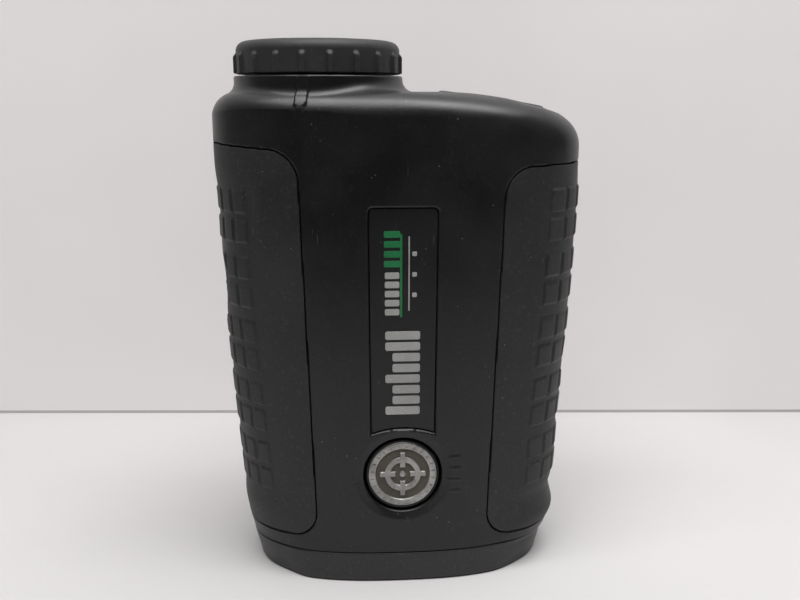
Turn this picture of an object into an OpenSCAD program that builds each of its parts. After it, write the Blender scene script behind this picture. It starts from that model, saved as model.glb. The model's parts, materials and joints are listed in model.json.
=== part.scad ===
// Pocket laser rangefinder, standing on its objective end.
// +Z runs from the objective rim to the eyecup, -Y is the side with the mode button and the badge,
// and -X is the side that carries the power button and faces up in use.

/* [Body] */
// Width across the two grips at the shoulder
body_w = 74; // [73:0.5:76]
// Depth from the button face to the back at the shoulder
body_d = 40.1; // [39.6:0.1:41]
// Height of the flat shoulder above the objective rim
shoulder_h = 99.4; // [99:0.1:99.8]
// How much narrower each side is at the foot than at the shoulder
side_taper = 4.3; // [3.8:0.1:4.5]
// Wall thickness of the two housing halves
wall = 2.8; // [2.6:0.1:3]

/* [Grips] */
// Thickness of the rubber grips
grip_t = 1.2; // [1:0.1:1.3]
// Height of the lower edge of both grips
grip_foot = 9.8; // [9.4:0.2:10.4]
// Height of the top edge of the grip on the power button side
top_grip_h = 88.6; // [88.2:0.2:89]
// Height of the top edge of the grip on the tripod side
bottom_grip_h = 85.5; // [85.2:0.1:85.7]
// Radius of the grip corners
grip_corner = 6; // [5:0.5:6]

/* [Eyepiece] */
// Distance of the viewing axis from the middle of the body
eye_x = 15.8; // [15.6:0.1:16]
// Radius of the eyecup without its ribs
eyecup_r = 16.4; // [16.2:0.1:16.6]
// Number of ribs round the eyecup
eyecup_ribs = 20; // [12:1:24]
// Height of the eyecup's lip above the objective rim
overall_h = 109; // [108.6:0.1:109.6]

/* [Controls] */
// Height of the mode button
mode_z = 24.2; // [23.8:0.1:24.6]
// Radius of the mode button
mode_r = 7.45; // [7:0.05:7.5]
// Height of the power button
power_z = 62; // [61.5:0.1:62.5]
// Radius of the power button
power_r = 6.9; // [6.4:0.1:7]

/* [Battery] */
// Distance of the battery cap's centre from the middle of the body
cap_x = 19.2; // [19:0.1:19.4]
// Tilt of the battery's axis towards the sloping shoulder
cap_tilt = 8.5; // [8:0.1:8.8]
// Radius of the battery cap
cap_r = 11; // [10.8:0.1:11]

/* [Tripod socket] */
// Height of the tripod socket
tripod_z = 45; // [44:0.5:46]
// Radius of the socket's bore, the minor radius of a 1/4-20 thread
tripod_r = 2.6; // [2.5:0.05:2.65]

/* [Hidden] */
$fn = 96;

// Colours
shell_colour = "#2b2c2e";
grip_colour = "#38393b";
rubber_colour = "#232425";
silver_colour = "#b9b9b4";
steel_colour = "#9a9ca0";
brass_colour = "#b08d4a";
black_metal = "#1c1c1e";
glass_colour = "#7fa3b8";
board_colour = "#1f5a38";

// ---- Outer surface: a stack of superellipse sections ----

half_top = body_w / 2;
depth_top = body_d / 2;
depth_taper = 1.15;         // how much shallower each face is at the foot
foot_chamfer = 0.5;         // bevel round the objective rim
arc_z = 88;                 // where the sides start to close over the shoulder
side_arc_x = 5;             // where the long slope of the shoulder starts
side_arc_n = 2.5;           // fullness of that slope
near_corner = 4.5;          // corner radius beside the eyepiece
face_corner = 5;            // corner radius along the two faces
neck_r = 16.9;
neck_fillet = 1.6;
neck_top = 102.4;
bezel_top = 6.5;
shell_foot = 6.8;

function section_n(z) = 2.55 + 0.2 * min(z, 60) / 60;
function foot_bevel(z) = max(0, foot_chamfer - z);
function side_at(z) = half_top - side_taper * pow(max(0, 90 - z) / 83, 1.6) - foot_bevel(z);
function arc_share(z) = min(1, max(0, (z - arc_z) / (shoulder_h - arc_z)));
function right_at(z) = z <= arc_z ? side_at(z)
    : side_arc_x + (half_top - side_arc_x) * pow(1 - pow(arc_share(z), side_arc_n), 1 / side_arc_n);
function round_over(z, r) = let (up = max(0, z - (shoulder_h - r)))
    r - sqrt(max(0, r * r - up * up));
function left_at(z) = side_at(z) - round_over(z, near_corner);
function half_w(z) = (left_at(z) + right_at(z)) / 2;
function mid_x(z) = (right_at(z) - left_at(z)) / 2;
function half_d(z) = depth_top - depth_taper * (1 - min(z, 90) / 90) - round_over(z, face_corner)
    - foot_bevel(z);

function section_r(phi, a, b, n) =
    pow(pow(abs(cos(phi)) / a, n) + pow(abs(sin(phi)) / b, n), -1 / n);
// Point of the outer surface at angle phi and height z, sunk by depth
function skin_point(phi, z, depth) =
    let (r = section_r(phi, half_w(z) - depth, half_d(z) - depth, section_n(z)))
    [mid_x(z) + r * cos(phi), r * sin(phi), z];
// Depth of the face behind the point x at height z
function face_y(x, z) = half_d(z) * pow(1 - pow(abs(x) / half_w(z), section_n(z)), 1 / section_n(z));

function spread(from, to, steps) = [for (i = [0:steps]) from + (to - from) * i / steps];
function reversed(list) = [for (i = [len(list) - 1:-1:0]) list[i]];

// Closed solid through a stack of rings that share one point count. A folded ring runs out along
// one side and back along the other, so its end faces are strips between the two.
module skin(rings, folded = false) {
    n = len(rings[0]);
    m = len(rings);
    strip = [for (i = [0:n / 2 - 2]) each [[i, i + 1, n - 2 - i], [i, n - 2 - i, n - 1 - i]]];
    low_end = folded ? strip : [[for (i = [0:n - 1]) i]];
    high_end = [for (face = low_end) [for (i = reversed(face)) (m - 1) * n + i]];
    points = [for (ring = rings) each ring];
    sides = [for (j = [0:m - 2]) for (i = [0:n - 1])
        let (k = (i + 1) % n, low = j * n, high = low + n)
        each [[low + i, high + i, high + k], [low + i, high + k, low + k]]];
    polyhedron(points = points, faces = concat(low_end, high_end, sides), convexity = 6);
}

// ---- Grip seats ----

seat_depth = grip_t + 0.1;  // how far the grips' seats are sunk
edge_low = 17.6;            // half-width of the bare face at the foot of the grips
edge_high = 19.6;           // the same at their top
edge_angle = 0.25;          // angle taken by a seat's side wall
step_h = 0.15;              // height taken by a seat's end wall

function corner_in(up) = up <= 0 ? 0 : grip_corner - sqrt(max(0, pow(grip_corner, 2) - up * up));
function edge_x(z, top) =
    let (h = min(max(z, grip_foot), top))
    edge_low + (edge_high - edge_low) * (h - grip_foot) / (bottom_grip_h - grip_foot)
    + corner_in(h - (top - grip_corner)) + corner_in(grip_foot + grip_corner - h);
// Angle from the side to a grip's front edge
function edge_phi(z, top) = let (x = min(edge_x(z, top), 0.9 * half_w(z)))
    atan2(face_y(x, z), x);
function in_seat(z, top) = z >= grip_foot && z <= top;

side_steps = 6;
face_steps = 14;
function shell_ring(z) =
    let (
        left = edge_phi(z, top_grip_h),
        right = edge_phi(z, bottom_grip_h),
        left_sink = in_seat(z, top_grip_h) ? seat_depth : 0,
        right_sink = in_seat(z, bottom_grip_h) ? seat_depth : 0
    )
    concat(
        [for (phi = spread(180, 180 + left, side_steps)) skin_point(phi, z, left_sink)],
        [for (phi = spread(180 + left + edge_angle, 360 - right - edge_angle, face_steps))
            skin_point(phi, z, 0)],
        [for (phi = spread(360 - right, 360, side_steps)) skin_point(phi, z, right_sink)]
    );

straight_levels = [24, 34, 45, 56, 67, 76];
foot_levels = [0, 0.4, 1.2, 2.6, grip_corner];
shell_levels = concat(
    [shell_foot, 8.2, grip_foot - step_h],
    [for (up = foot_levels) grip_foot + up],
    straight_levels,
    [for (down = [6, 3, 1.2, 0.3, 0]) bottom_grip_h - down],
    [bottom_grip_h + step_h],
    [for (down = [2.4, 1.2, 0.4, 0]) top_grip_h - down],
    [top_grip_h + step_h],
    [for (down = [9.2, 7.8, 6.3, 4.9, 3.5, 2.4, 1.5, 0.8, 0.3, 0]) shoulder_h - down]
);

module half_body() skin([for (z = shell_levels) shell_ring(z)]);

cavity_top = shoulder_h - 2.6;
module cavity() {
    levels = [2, 14, 30, 46, 62, 78, 88, 91.5, 94, 95.5, cavity_top];
    skin([for (z = levels) [for (i = [0:47]) skin_point(i * 7.5, z, wall)]]);
}

// ---- Housing halves ----

run_gap = 0.08;             // radial clearance of every running fit

screw_spots = [[-29.8, 29], [-30.2, 49.8], [28.6, 24], [31, 66]];
boss_r = 2.2;
boss_top = 6.2;
screw_seat = 4.7;
screw_shank_r = 1;
screw_head_r = 1.85;
screw_head_h = 1.35;
neck_bore = 14.7;
neck_low = cavity_top - 1;  // underside of the neck, inside the body
cap_z = 97.35;              // height of the cap's centre, just under its top face
cap_bore = cap_r + 0.3;
collar_r = 13.2;
collar_low = -12;           // measured along the cap's axis

module at_eye() translate([-eye_x, 0, 0]) children();
module at_cap() translate([cap_x, 0, cap_z]) rotate([0, cap_tilt, 0]) children();
// Ring or disc from z = low to z = high
module tube(outer, inner, low, high) {
    difference() {
        translate([0, 0, low]) cylinder(r = outer, h = high - low);
        if (inner > 0) translate([0, 0, low - 1]) cylinder(r = inner, h = high - low + 2);
    }
}
module along_y(x, z, r, from, to)
    translate([x, from, z]) rotate([-90, 0, 0]) cylinder(r = r, h = to - from);
module along_x(y, z, r, from, to)
    translate([from, y, z]) rotate([0, 90, 0]) cylinder(r = r, h = to - from);
module block(low, high) translate(low) cube(high - low);

// The eyepiece neck with its fillet onto the shoulder
module neck() {
    fillet = [for (a = [0:15:90])
        [neck_r + neck_fillet * (1 - sin(a)), shoulder_h + neck_fillet * (1 - cos(a))]];
    at_eye() rotate_extrude()
        polygon(concat([[neck_bore, neck_low], [neck_r + neck_fillet, neck_low]],
            fillet, [[neck_r, neck_top], [neck_bore, neck_top]]));
}

// Collar that carries the battery tube under the cap
module cap_collar() at_cap() tube(collar_r, 0, collar_low, -1.8);

// Everything cut alike from both halves
module common_cuts() {
    at_eye() translate([0, 0, cavity_top - 4]) cylinder(r = neck_bore, h = 14);
    at_cap() translate([0, 0, -20]) cylinder(r = cap_bore, h = 26);
    along_x(0, power_z, power_r + run_gap, -half_top - 2, -power_boss_in + 2);
    along_x(0, tripod_z, insert_r + 0.05, tripod_end, half_top + 2);
    along_x(0, tripod_z, insert_r + 1.1, tripod_face - 0.05, half_top + 2);
}

power_boss_in = 31.9;       // inner face of the power button's guide
tripod_face = 34.1;         // flat seat of the insert's flange
insert_r = 4.6;
tripod_end = 27.5;

module side_bosses() {
    along_x(0, power_z, power_r + 2.2, -33.1, -power_boss_in);
    along_x(0, tripod_z, insert_r + 2, tripod_end - 0.6, tripod_face);
}

module housing_half() {
    difference() {
        union() {
            difference() {
                union() {
                    half_body();
                    intersection() {
                        neck();
                        block([-60, -30, 90], [30, 0, 110]);
                    }
                }
                cavity();
            }
            intersection() {
                union() {
                    side_bosses();
                    cap_collar();
                }
                block([-40, -30, 0], [40, 0, 120]);
            }
            for (spot = screw_spots) along_y(spot[0], spot[1], boss_r, -boss_top, 0);
        }
        common_cuts();
    }
}

// Badge recess: a rounded rectangle cut off by the button's dish
label_w = 13;
label_low = 34.2;
label_high = 78.3;
label_corner = 0.9;
dish_r = 9.9;
module label_outline(gap) {
    w = label_w / 2 - gap;
    c = label_corner;
    difference() {
        union() {
            translate([-w, label_low - 1.5 + gap])
                square([2 * w, label_high - label_low + 1.5 - gap - c]);
            translate([-w + c, label_high - c - gap]) square([2 * w - 2 * c, c]);
            for (side = [-1, 1]) translate([side * (w - c), label_high - c - gap]) circle(r = c);
        }
        translate([0, mode_z]) circle(r = dish_r + 0.1 + gap);
    }
}
// Stands an outline upright on a face and sinks it from depth to depth + thick
module on_face(z_ref, depth, thick) {
    lean = atan(depth_taper / 90);
    translate([0, -face_y(0, z_ref) + depth + thick, z_ref]) rotate([90 + lean, 0, 0])
        translate([0, -z_ref, 0]) linear_extrude(thick) children();
}
label_sink = 0.9;
label_ref = 56;             // height where the badge plate follows the face exactly

mode_face = face_y(0, mode_z);
mode_back = mode_face - 3.4; // inner face of the mode button's guide

module left_housing() {
    color(shell_colour) difference() {
        union() {
            housing_half();
            along_y(0, mode_z, mode_r + 2.2, -mode_face + 1.6, -mode_back);
        }
        on_face(label_ref, -2, label_sink + 2) label_outline(0);
        translate([0, -mode_face - 0.5, mode_z]) rotate([-90, 0, 0])
            cylinder(r1 = dish_r + 0.5, r2 = mode_r + 0.5, h = 1.5);
        along_y(0, mode_z, mode_r + run_gap, -mode_face - 2, -mode_back + 2);
        for (spot = screw_spots) along_y(spot[0], spot[1], screw_shank_r + 0.05, -8, 1);
    }
}

rear_label_ref = 43;        // height where the rear label meets the back exactly
rear_label_low = 28;
rear_label_high = 58;
rear_label_w = 22;
strap_low = [8, 13, 73.5];
strap_high = [18, 18, 83];
pocket_low = [9.4, 14.2, 75];
pocket_high = [16.6, 30, 81.5];
strap_pin_y = 17.6;
strap_pin_z = 78.25;
strap_pin_r = 1;
module right_housing() {
    color(shell_colour) difference() {
        union() {
            mirror([0, 1, 0]) housing_half();
            block(strap_low, strap_high);
        }
        for (spot = screw_spots) {
            along_y(spot[0], spot[1], screw_shank_r + 0.2, -1, 8);
            along_y(spot[0], spot[1], boss_r - 0.2, screw_seat, 16);
        }
        mirror([0, 1, 0]) on_face(rear_label_ref, -2, 2.35)
            translate([-rear_label_w / 2, rear_label_low])
            square([rear_label_w, rear_label_high - rear_label_low]);
        block(pocket_low, pocket_high);
        translate([strap_low[0] + 0.6, strap_pin_y, strap_pin_z]) rotate([0, 90, 0])
            cylinder(r = strap_pin_r + 0.03, h = 8.8);
    }
}

module grip(side, top) {
    levels = concat([grip_foot + 0.1], [for (up = [0.4, 1.2, 2.6, grip_corner]) grip_foot + up],
        straight_levels, [for (down = [6, 2.9, 1.2, 0.4, 0.1]) top - down]);
    centre = side < 0 ? 180 : 0;
    steps = 2 * side_steps;
    skin([for (z = levels)
        let (reach = edge_phi(z, top) - 0.5, phis = spread(centre - reach, centre + reach, steps))
        concat([for (phi = phis) skin_point(phi, z, 0)],
            [for (phi = reversed(phis)) skin_point(phi, z, grip_t)])], folded = true);
}

module top_grip() {
    color(grip_colour) difference() {
        grip(-1, top_grip_h);
        along_x(0, power_z, power_r + 1.1, -half_top - 2, -30);
    }
}

module bottom_grip() {
    color(grip_colour) difference() {
        grip(1, bottom_grip_h);
        along_x(0, tripod_z, insert_r + 2.3, 30, half_top + 2);
    }
}

module housing_screws() {
    color(steel_colour) for (spot = screw_spots) difference() {
        union() {
            along_y(spot[0], spot[1], screw_head_r, screw_seat + 0.05, screw_seat + 0.05 + screw_head_h);
            along_y(spot[0], spot[1], screw_shank_r, -7, screw_seat + 0.05);
        }
        for (turn = [0, 90])
            translate([spot[0], screw_seat + 0.05 + screw_head_h, spot[1]]) rotate([0, turn, 0])
                cube([2.2, 1.4, 0.45], center = true);
    }
}

module label_plate() color(shell_colour) on_face(label_ref, 0.3, 0.55) label_outline(0.12);

module rear_label()
    color("#3c3d3f") mirror([0, 1, 0]) on_face(rear_label_ref, 0.08, 0.25)
        translate([-rear_label_w / 2 + 0.15, rear_label_low + 0.15])
        square([rear_label_w - 0.3, rear_label_high - rear_label_low - 0.3]);

// ---- Front bezel and fixed interfaces ----

receiver_x = 14.6;
well_r = 12.3;
cell_r = 13.7;
cell_low = 2.3;
module at_receiver() translate([receiver_x, 0, 0]) children();

function bezel_ring(z, depth) = [for (i = [0:71]) skin_point(i * 5, z, depth)];
module front_bezel() {
    color(shell_colour) difference() {
        union() {
            skin([for (z = [0, 0.25, 0.5, 3.4, bezel_top]) bezel_ring(z, 0)]);
            skin([for (z = [bezel_top - 0.8, bezel_top + 1.7]) bezel_ring(z, wall + 0.3)]);
        }
        for (x = [-eye_x, receiver_x]) translate([x, 0, 0]) {
            translate([0, 0, -1]) cylinder(r = well_r, h = 12);
            translate([0, 0, cell_low]) cylinder(r = cell_r + 0.1, h = 12);
            translate([0, 0, -0.4]) cylinder(r1 = well_r + 1, r2 = well_r, h = 1);
        }
        skin([for (z = [bezel_top, bezel_top + 3]) bezel_ring(z, wall + 1.5)]);
    }
}

module bezel_gasket() {
    color(rubber_colour) difference() {
        skin([for (z = [bezel_top, shell_foot]) bezel_ring(z, 0.5)]);
        skin([for (z = [bezel_top - 1, shell_foot + 1]) bezel_ring(z, wall - 0.2)]);
    }
}

module tripod_insert() {
    color(brass_colour) difference() {
        union() {
            along_x(0, tripod_z, insert_r, tripod_end + 0.1, tripod_face);
            along_x(0, tripod_z, insert_r + 1, tripod_face, tripod_face + 0.8);
        }
        along_x(0, tripod_z, tripod_r, tripod_face - 5.7, tripod_face + 2);
    }
}

module strap_pin() color(steel_colour)
    translate([strap_low[0] + 0.65, strap_pin_y, strap_pin_z]) rotate([0, 90, 0])
    cylinder(r = strap_pin_r, h = 8.7);

// ---- Eyepiece ----

ring_low = 102.75;
ring_high = 107.4;
barrel_r = 14.6;
barrel_bore = 12.7;
barrel_low = 84;
barrel_top = 106.2;
barrel_seal_z = 100;
pin_z = 104.8;
pin_r = 0.5;

module eyepiece_barrel() {
    color(black_metal) at_eye() difference() {
        union() {
            tube(barrel_r, barrel_bore, barrel_low, barrel_top);
            tube(barrel_r + 1.2, barrel_bore, neck_low - 2.1, neck_low - 0.1);
        }
        tube(barrel_r + 1, barrel_r - 0.9, barrel_seal_z - 0.7, barrel_seal_z + 0.7);
        block([barrel_bore - 2, -pin_r - 0.1, pin_z - 1.6], [barrel_r + 1, pin_r + 0.1, 110]);
    }
}

module o_ring(major, minor) rotate_extrude() translate([major, 0]) circle(r = minor, $fn = 32);

module barrel_o_ring() color(rubber_colour) at_eye()
    translate([0, 0, barrel_seal_z]) o_ring(barrel_r - 0.45, 0.42);

module diopter_ring() {
    color(black_metal) at_eye() difference() {
        union() {
            tube(eyecup_r - 0.8, barrel_r + run_gap, ring_low, ring_high);
            tube(eyecup_r - 0.8, 13.1, ring_high - 1, ring_high);
        }
        tube(15.15, barrel_r - 1, pin_z - 1.6, pin_z + 1.6);
    }
}

rib_h = 0.7;
rib_w = 0.8;
rib_top = 106.6;
lip_r = 1.9;
mouth_r = 12.9;             // radius of the eyecup's opening
module eyecup() {
    inner = eyecup_r - 0.75;
    lip = [for (a = [0:15:90])
        [eyecup_r - lip_r + lip_r * cos(a), overall_h - lip_r + lip_r * sin(a)]];
    color(rubber_colour) at_eye() {
        rotate_extrude() polygon(concat(
            [[inner, ring_low], [eyecup_r, ring_low]], lip,
            [[mouth_r + 0.5, overall_h], [mouth_r, overall_h - 0.6], [mouth_r, ring_high + 0.05],
                [inner, ring_high + 0.05]]));
        for (i = [0:eyecup_ribs - 1]) rotate([0, 0, (i + 0.5) * 360 / eyecup_ribs])
            block([eyecup_r - 0.4, -rib_w / 2, ring_low], [eyecup_r + rib_h, rib_w / 2, rib_top]);
    }
}

cell_bore = 11.4;
ocular_low = 88;
ocular_high = 106;
lock_high = 103.4;          // top of the ring that holds the lenses
module ocular_cell() {
    color(black_metal) at_eye() difference() {
        tube(barrel_bore - run_gap, 10.2, ocular_low, ocular_high);
        tube(cell_bore, 0, ocular_low + 2.6, ocular_high + 1);
        along_x(0, pin_z, pin_r + 0.02, cell_bore - 1, 14);
    }
}

// Lens with a cylindrical edge from edge_bottom to edge_top and a convex face on each end
module lens(r, edge_bottom, edge_top, low_curve, high_curve) {
    arc_steps = 8;
    function sag(curve, x) = sqrt(curve * curve - x * x) - sqrt(curve * curve - r * r);
    low_face = [for (x = spread(0, r, arc_steps)) [x, edge_bottom - sag(low_curve, x)]];
    high_face = [for (x = spread(r, 0, arc_steps)) [x, edge_top + sag(high_curve, x)]];
    rotate_extrude() polygon(concat(low_face, high_face));
}

lens_r = cell_bore - 0.1;
module eye_lens() color(glass_colour) at_eye() lens(lens_r, 100.2, 101.6, 30, 26);
module field_lens() color(glass_colour) at_eye() lens(lens_r, 91, 92.2, 34, 34);
module lens_spacer() color(black_metal) at_eye() tube(cell_bore - 0.05, 10.4, 92.55, 99.8);
module ocular_retaining_ring()
    color(black_metal) at_eye() difference() {
        tube(cell_bore - 0.03, 10.3, lock_high - 1.3, lock_high);
        for (turn = [0, 90]) rotate([0, 0, turn]) translate([0, 0, lock_high])
            cube([24, 1.2, 0.8], center = true);
    }
module diopter_drive_pin()
    color(steel_colour) at_eye() along_x(0, pin_z, pin_r, cell_bore + 0.1, 15.05);

// ---- Buttons ----

// Coil of round wire with its axis on +Z, from low to high
module coil(r_low, r_high, low, high, turns, wire) {
    ring_steps = 14;
    n = turns * ring_steps;
    rings = [for (i = [0:n])
        let (
            t = i / n,
            a = 360 * turns * t,
            r = r_low + (r_high - r_low) * t,
            z = low + wire + (high - low - 2 * wire) * t
        )
        [for (k = [0:7]) let (s = 45 * k) [
            (r + wire * cos(s)) * cos(a), (r + wire * cos(s)) * sin(a), z + wire * sin(s)]]];
    m = len(rings);
    points = [for (ring = rings) each ring];
    sides = [for (j = [0:m - 2]) for (i = [0:7])
        let (k = (i + 1) % 8, low = j * 8, high = low + 8)
        each [[low + i, low + k, high + k], [low + i, high + k, high + i]]];
    polyhedron(points = points, faces = concat(
        [[for (i = [7:-1:0]) i]], [[for (i = [0:7]) (m - 1) * 8 + i]], sides), convexity = 8);
}

// Tactile switch, its board face at z = 0 and its plunger towards +Z
module tact_switch() {
    block([-3, -3, 0], [3, 3, 2]);
    translate([0, 0, 2]) cylinder(r = 1.5, h = 1);
    for (x = [-1, 1]) for (y = [-1, 1])
        block([x * 3.3 - 0.5, y * 2 - 0.4, 0], [x * 3.3 + 0.5, y * 2 + 0.4, 0.8]);
}

mode_flange = mode_back - 0.2;
mode_board_y = -9.8;
disc_sink = 1.5;
spring_r = 5.4;
spring_wire = 0.32;         // radius of the buttons' spring wire
disc_r = 7.0;
disc_t = 0.6;
module mode_button() {
    front = -mode_face + disc_sink + 0.2;
    color(rubber_colour) difference() {
        union() {
            along_y(0, mode_z, mode_r, front, -mode_flange);
            along_y(0, mode_z, mode_r + 0.95, -mode_flange, -mode_flange + 1);
            along_y(0, mode_z, 1.6, -mode_flange, mode_board_y - 3.9);
        }
        along_y(0, mode_z, disc_r + 0.03, front - 1, front - 0.18 + disc_t);
        translate([0, front + 1, mode_z]) rotate([-90, 0, 0])
            tube(mode_r + 1, mode_r - 0.45, 0, 0.6);
    }
}

module mode_button_disc()
    color(silver_colour)
    along_y(0, mode_z, disc_r, -mode_face + disc_sink, -mode_face + disc_sink + disc_t);

module mode_button_o_ring()
    color(rubber_colour) translate([0, -mode_face + disc_sink + 1.5, mode_z]) rotate([-90, 0, 0])
        o_ring(mode_r - 0.2, 0.22);

mode_gap = mode_flange - 1 + mode_board_y;
module mode_button_spring()
    color(steel_colour) translate([0, mode_board_y, mode_z]) rotate([90, 0, 0])
        coil(spring_r, spring_r, 0.02, mode_gap - 0.02, 3, spring_wire);

module mode_switch()
    color(black_metal) translate([0, mode_board_y, mode_z]) rotate([90, 0, 0])
        translate([0, 0, 0.02]) tact_switch();

module switch_board()
    color(board_colour) block([-6, mode_board_y, mode_z - 7.4], [6, mode_board_y + 1, mode_z + 17.8]);

power_face = side_at(power_z);
power_flange = power_boss_in - 0.2;
power_board_x = -26;
power_front = -power_face + 0.45;
power_groove = -33.1;
module power_button() {
    color(rubber_colour) difference() {
        union() {
            translate([power_front, 0, power_z]) rotate([0, 90, 0]) rotate_extrude()
                polygon([[0, 0], [power_r - 0.9, 0.12], [power_r, 0.9],
                    [power_r, -power_flange - power_front], [0, -power_flange - power_front]]);
            along_x(0, power_z, power_r + 0.95, -power_flange, -power_flange + 1);
            along_x(0, power_z, 1.6, -power_flange, power_board_x - 3.9);
        }
        translate([power_groove - 0.3, 0, power_z]) rotate([0, 90, 0])
            tube(power_r + 1, power_r - 0.45, 0, 0.6);
    }
}

module power_button_o_ring()
    color(rubber_colour) translate([power_groove, 0, power_z]) rotate([0, 90, 0])
        o_ring(power_r - 0.2, 0.22);

power_gap = power_flange - 1 + power_board_x;
module power_button_spring()
    color(steel_colour) translate([power_board_x, 0, power_z]) rotate([0, -90, 0])
        coil(spring_r, spring_r, 0.02, power_gap - 0.02, 3, spring_wire);

module power_switch()
    color(black_metal) translate([power_board_x, 0, power_z]) rotate([0, -90, 0])
        translate([0, 0, 0.02]) tact_switch();

module power_switch_board()
    color(board_colour)
    block([power_board_x, -6.5, power_z - 9], [power_board_x + 1, 6.5, power_z + 9]);

// ---- Battery and its cap, drawn along the cap's own axis with its top near z = 0 ----

cap_top = 0.6;
cap_low = -2.3;
plug_r = 9.67;
plug_low = -7.8;
hinge_z = -0.3;
hinge_r = 0.45;
tab_reach = 8.2;
tab_half = 5.4;             // half the width of the tab at its hinge
tube_top = -2.6;
tube_low = -47;
tube_r = 10;
battery_low = -43.1;
battery_length = 34.5;
battery_r = 8.5;

// Half-moon of the tab in plan, from the hinge outwards
module tab_outline(gap) intersection() {
    circle(r = tab_reach + gap);
    translate([-hinge_r, -tab_half - gap]) square([12, 2 * (tab_half + gap)]);
}

module battery_cap() {
    color(shell_colour) at_cap() difference() {
        union() {
            rotate_extrude() polygon([[0, cap_low], [cap_r, cap_low], [cap_r, cap_top - 0.7],
                [cap_r - 0.7, cap_top - 0.1], [cap_r - 3, cap_top], [0, cap_top]]);
            tube(plug_r, 0, plug_low, cap_low + 0.5);
        }
        translate([0, 0, hinge_z - 1.2]) linear_extrude(4) {
            tab_outline(0.3);
            translate([-1.2, -tab_half - 0.3]) square([3, 2 * tab_half + 0.6]);
        }
        translate([0, 7.4, hinge_z]) rotate([90, 0, 0]) cylinder(r = hinge_r + 0.02, h = 14.8);
        translate([tab_reach + 0.6, 0, cap_top + 1.4]) sphere(r = 2.3);
        tube(plug_r + 1, plug_r - 0.85, -3.95, -2.95);
    }
}

module battery_cap_tab() {
    color(shell_colour) at_cap() difference() {
        union() {
            translate([0, 0, hinge_z - 0.5]) linear_extrude(1.05) tab_outline(0);
            translate([0, tab_half, hinge_z]) rotate([90, 0, 0])
                cylinder(r = 0.85, h = 2 * tab_half);
        }
        translate([0, tab_half + 1, hinge_z]) rotate([90, 0, 0])
            cylinder(r = hinge_r + 0.05, h = 2 * tab_half + 2);
        translate([4.6, 0, hinge_z + 1.9]) sphere(r = 2);
    }
}

module battery_cap_pin() color(steel_colour) at_cap()
    translate([0, 7.3, hinge_z]) rotate([90, 0, 0]) cylinder(r = hinge_r, h = 14.6);

module battery_cap_o_ring()
    color(rubber_colour) at_cap() translate([0, 0, -3.45]) o_ring(plug_r - 0.38, 0.4);

module battery_cap_contact()
    color(brass_colour) at_cap() tube(6, 0, plug_low - 0.5, plug_low - 0.02);

module battery_tube() {
    color(black_metal) at_cap() difference() {
        union() {
            tube(cap_bore - 0.1, 0, collar_low, tube_top);
            tube(tube_r, 0, tube_low, collar_low + 1);
        }
        tube(plug_r + run_gap, 0, -8.6, 5);
        tube(battery_r + 0.3, 0, tube_low + 1, -8);
        translate([0, 0, tube_low - 1]) cylinder(r = 1.4, h = 4);
    }
}

module battery() {
    color("#c9c4b4") at_cap() {
        tube(battery_r, 0, battery_low, battery_low + battery_length - 1);
        tube(3.2, 0, battery_low + battery_length - 1.1, battery_low + battery_length);
    }
}

module battery_spring_contact() color(steel_colour) at_cap()
    coil(7, 4, tube_low + 1.02, battery_low - 0.02, 3, 0.35);

lead_r = 0.45;
lead_z = 48.6;
module battery_lead(x) {
    along_y(x, lead_z, lead_r, 1, 14.1);
    translate([x, 1 + lead_r, lead_z]) cylinder(r = lead_r, h = 1.7);
}
module battery_leads() {
    color("#8c2f26") battery_lead(10.5);
    color("#2a2a2a") battery_lead(13.5);
}

// ---- Lenses, prisms and the receiver ----

front_lens_r = 12;
ring_face = 7.9;            // slotted face of the retaining ring
module front_cell() {
    color(black_metal) difference() {
        union() {
            tube(cell_r, 0, cell_low + 0.05, 9.5);
            tube(12.9, 0, 9, 12.4);
        }
        translate([0, 0, 3.2]) cylinder(r = front_lens_r + 0.05, h = 12);
        cylinder(r = 11.4, h = 5);
    }
}

module front_ring() {
    color(black_metal) difference() {
        tube(front_lens_r + 0.02, 10.9, ring_face - 1.4, ring_face);
        translate([0, 0, ring_face]) cube([26, 1.4, 0.9], center = true);
    }
}

module front_lens(tint) color(tint) lens(front_lens_r, 3.45, 6.3, 60, 80);

module objective_cell() at_eye() front_cell();
module objective_lens() at_eye() front_lens(glass_colour);
module objective_retaining_ring() at_eye() front_ring();
module objective_tube() {
    color(black_metal) at_eye() {
        tube(12.9, 10.2, 12.45, 14);
        tube(11, 10.2, 13.5, 43.9);
    }
}

module receiver_cell() at_receiver() front_cell();
module receiver_lens() at_receiver() front_lens("#8a3d3a");
module receiver_retaining_ring() at_receiver() front_ring();
module receiver_cone() {
    color(black_metal) at_receiver() rotate_extrude()
        polygon([[12.9, 12.45], [12.9, 13.6], [4.8, 42], [4.8, 43.5], [3.9, 43.5], [3.9, 42],
            [11.9, 13.6], [11.9, 12.45]]);
}

module photodiode() {
    color(steel_colour) at_receiver() {
        tube(3.8, 0, 42.6, 45.4);
        tube(4.2, 0, 44.6, 45.4);
        for (a = [0, 120, 240]) rotate([0, 0, a]) translate([1.3, 0, 45]) cylinder(r = 0.25, h = 1.35);
    }
}

module receiver_board() color(board_colour) block([7, -8, 46.4], [22, 8, 47.4]);

prism_low = 44;
prism_high = 79.6;
module prism_housing() {
    color(black_metal) at_eye() difference() {
        block([-8.8, -10.5, prism_low], [8.8, 10.5, prism_high]);
        block([-7.3, -9, prism_low + 1.6], [7.3, 9, prism_high - 1.6]);
        translate([0, 0, prism_low - 1]) cylinder(r = 7, h = prism_high - prism_low + 2);
        along_x(0, laser_z, 3.4, 5, 12);
    }
}

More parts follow.
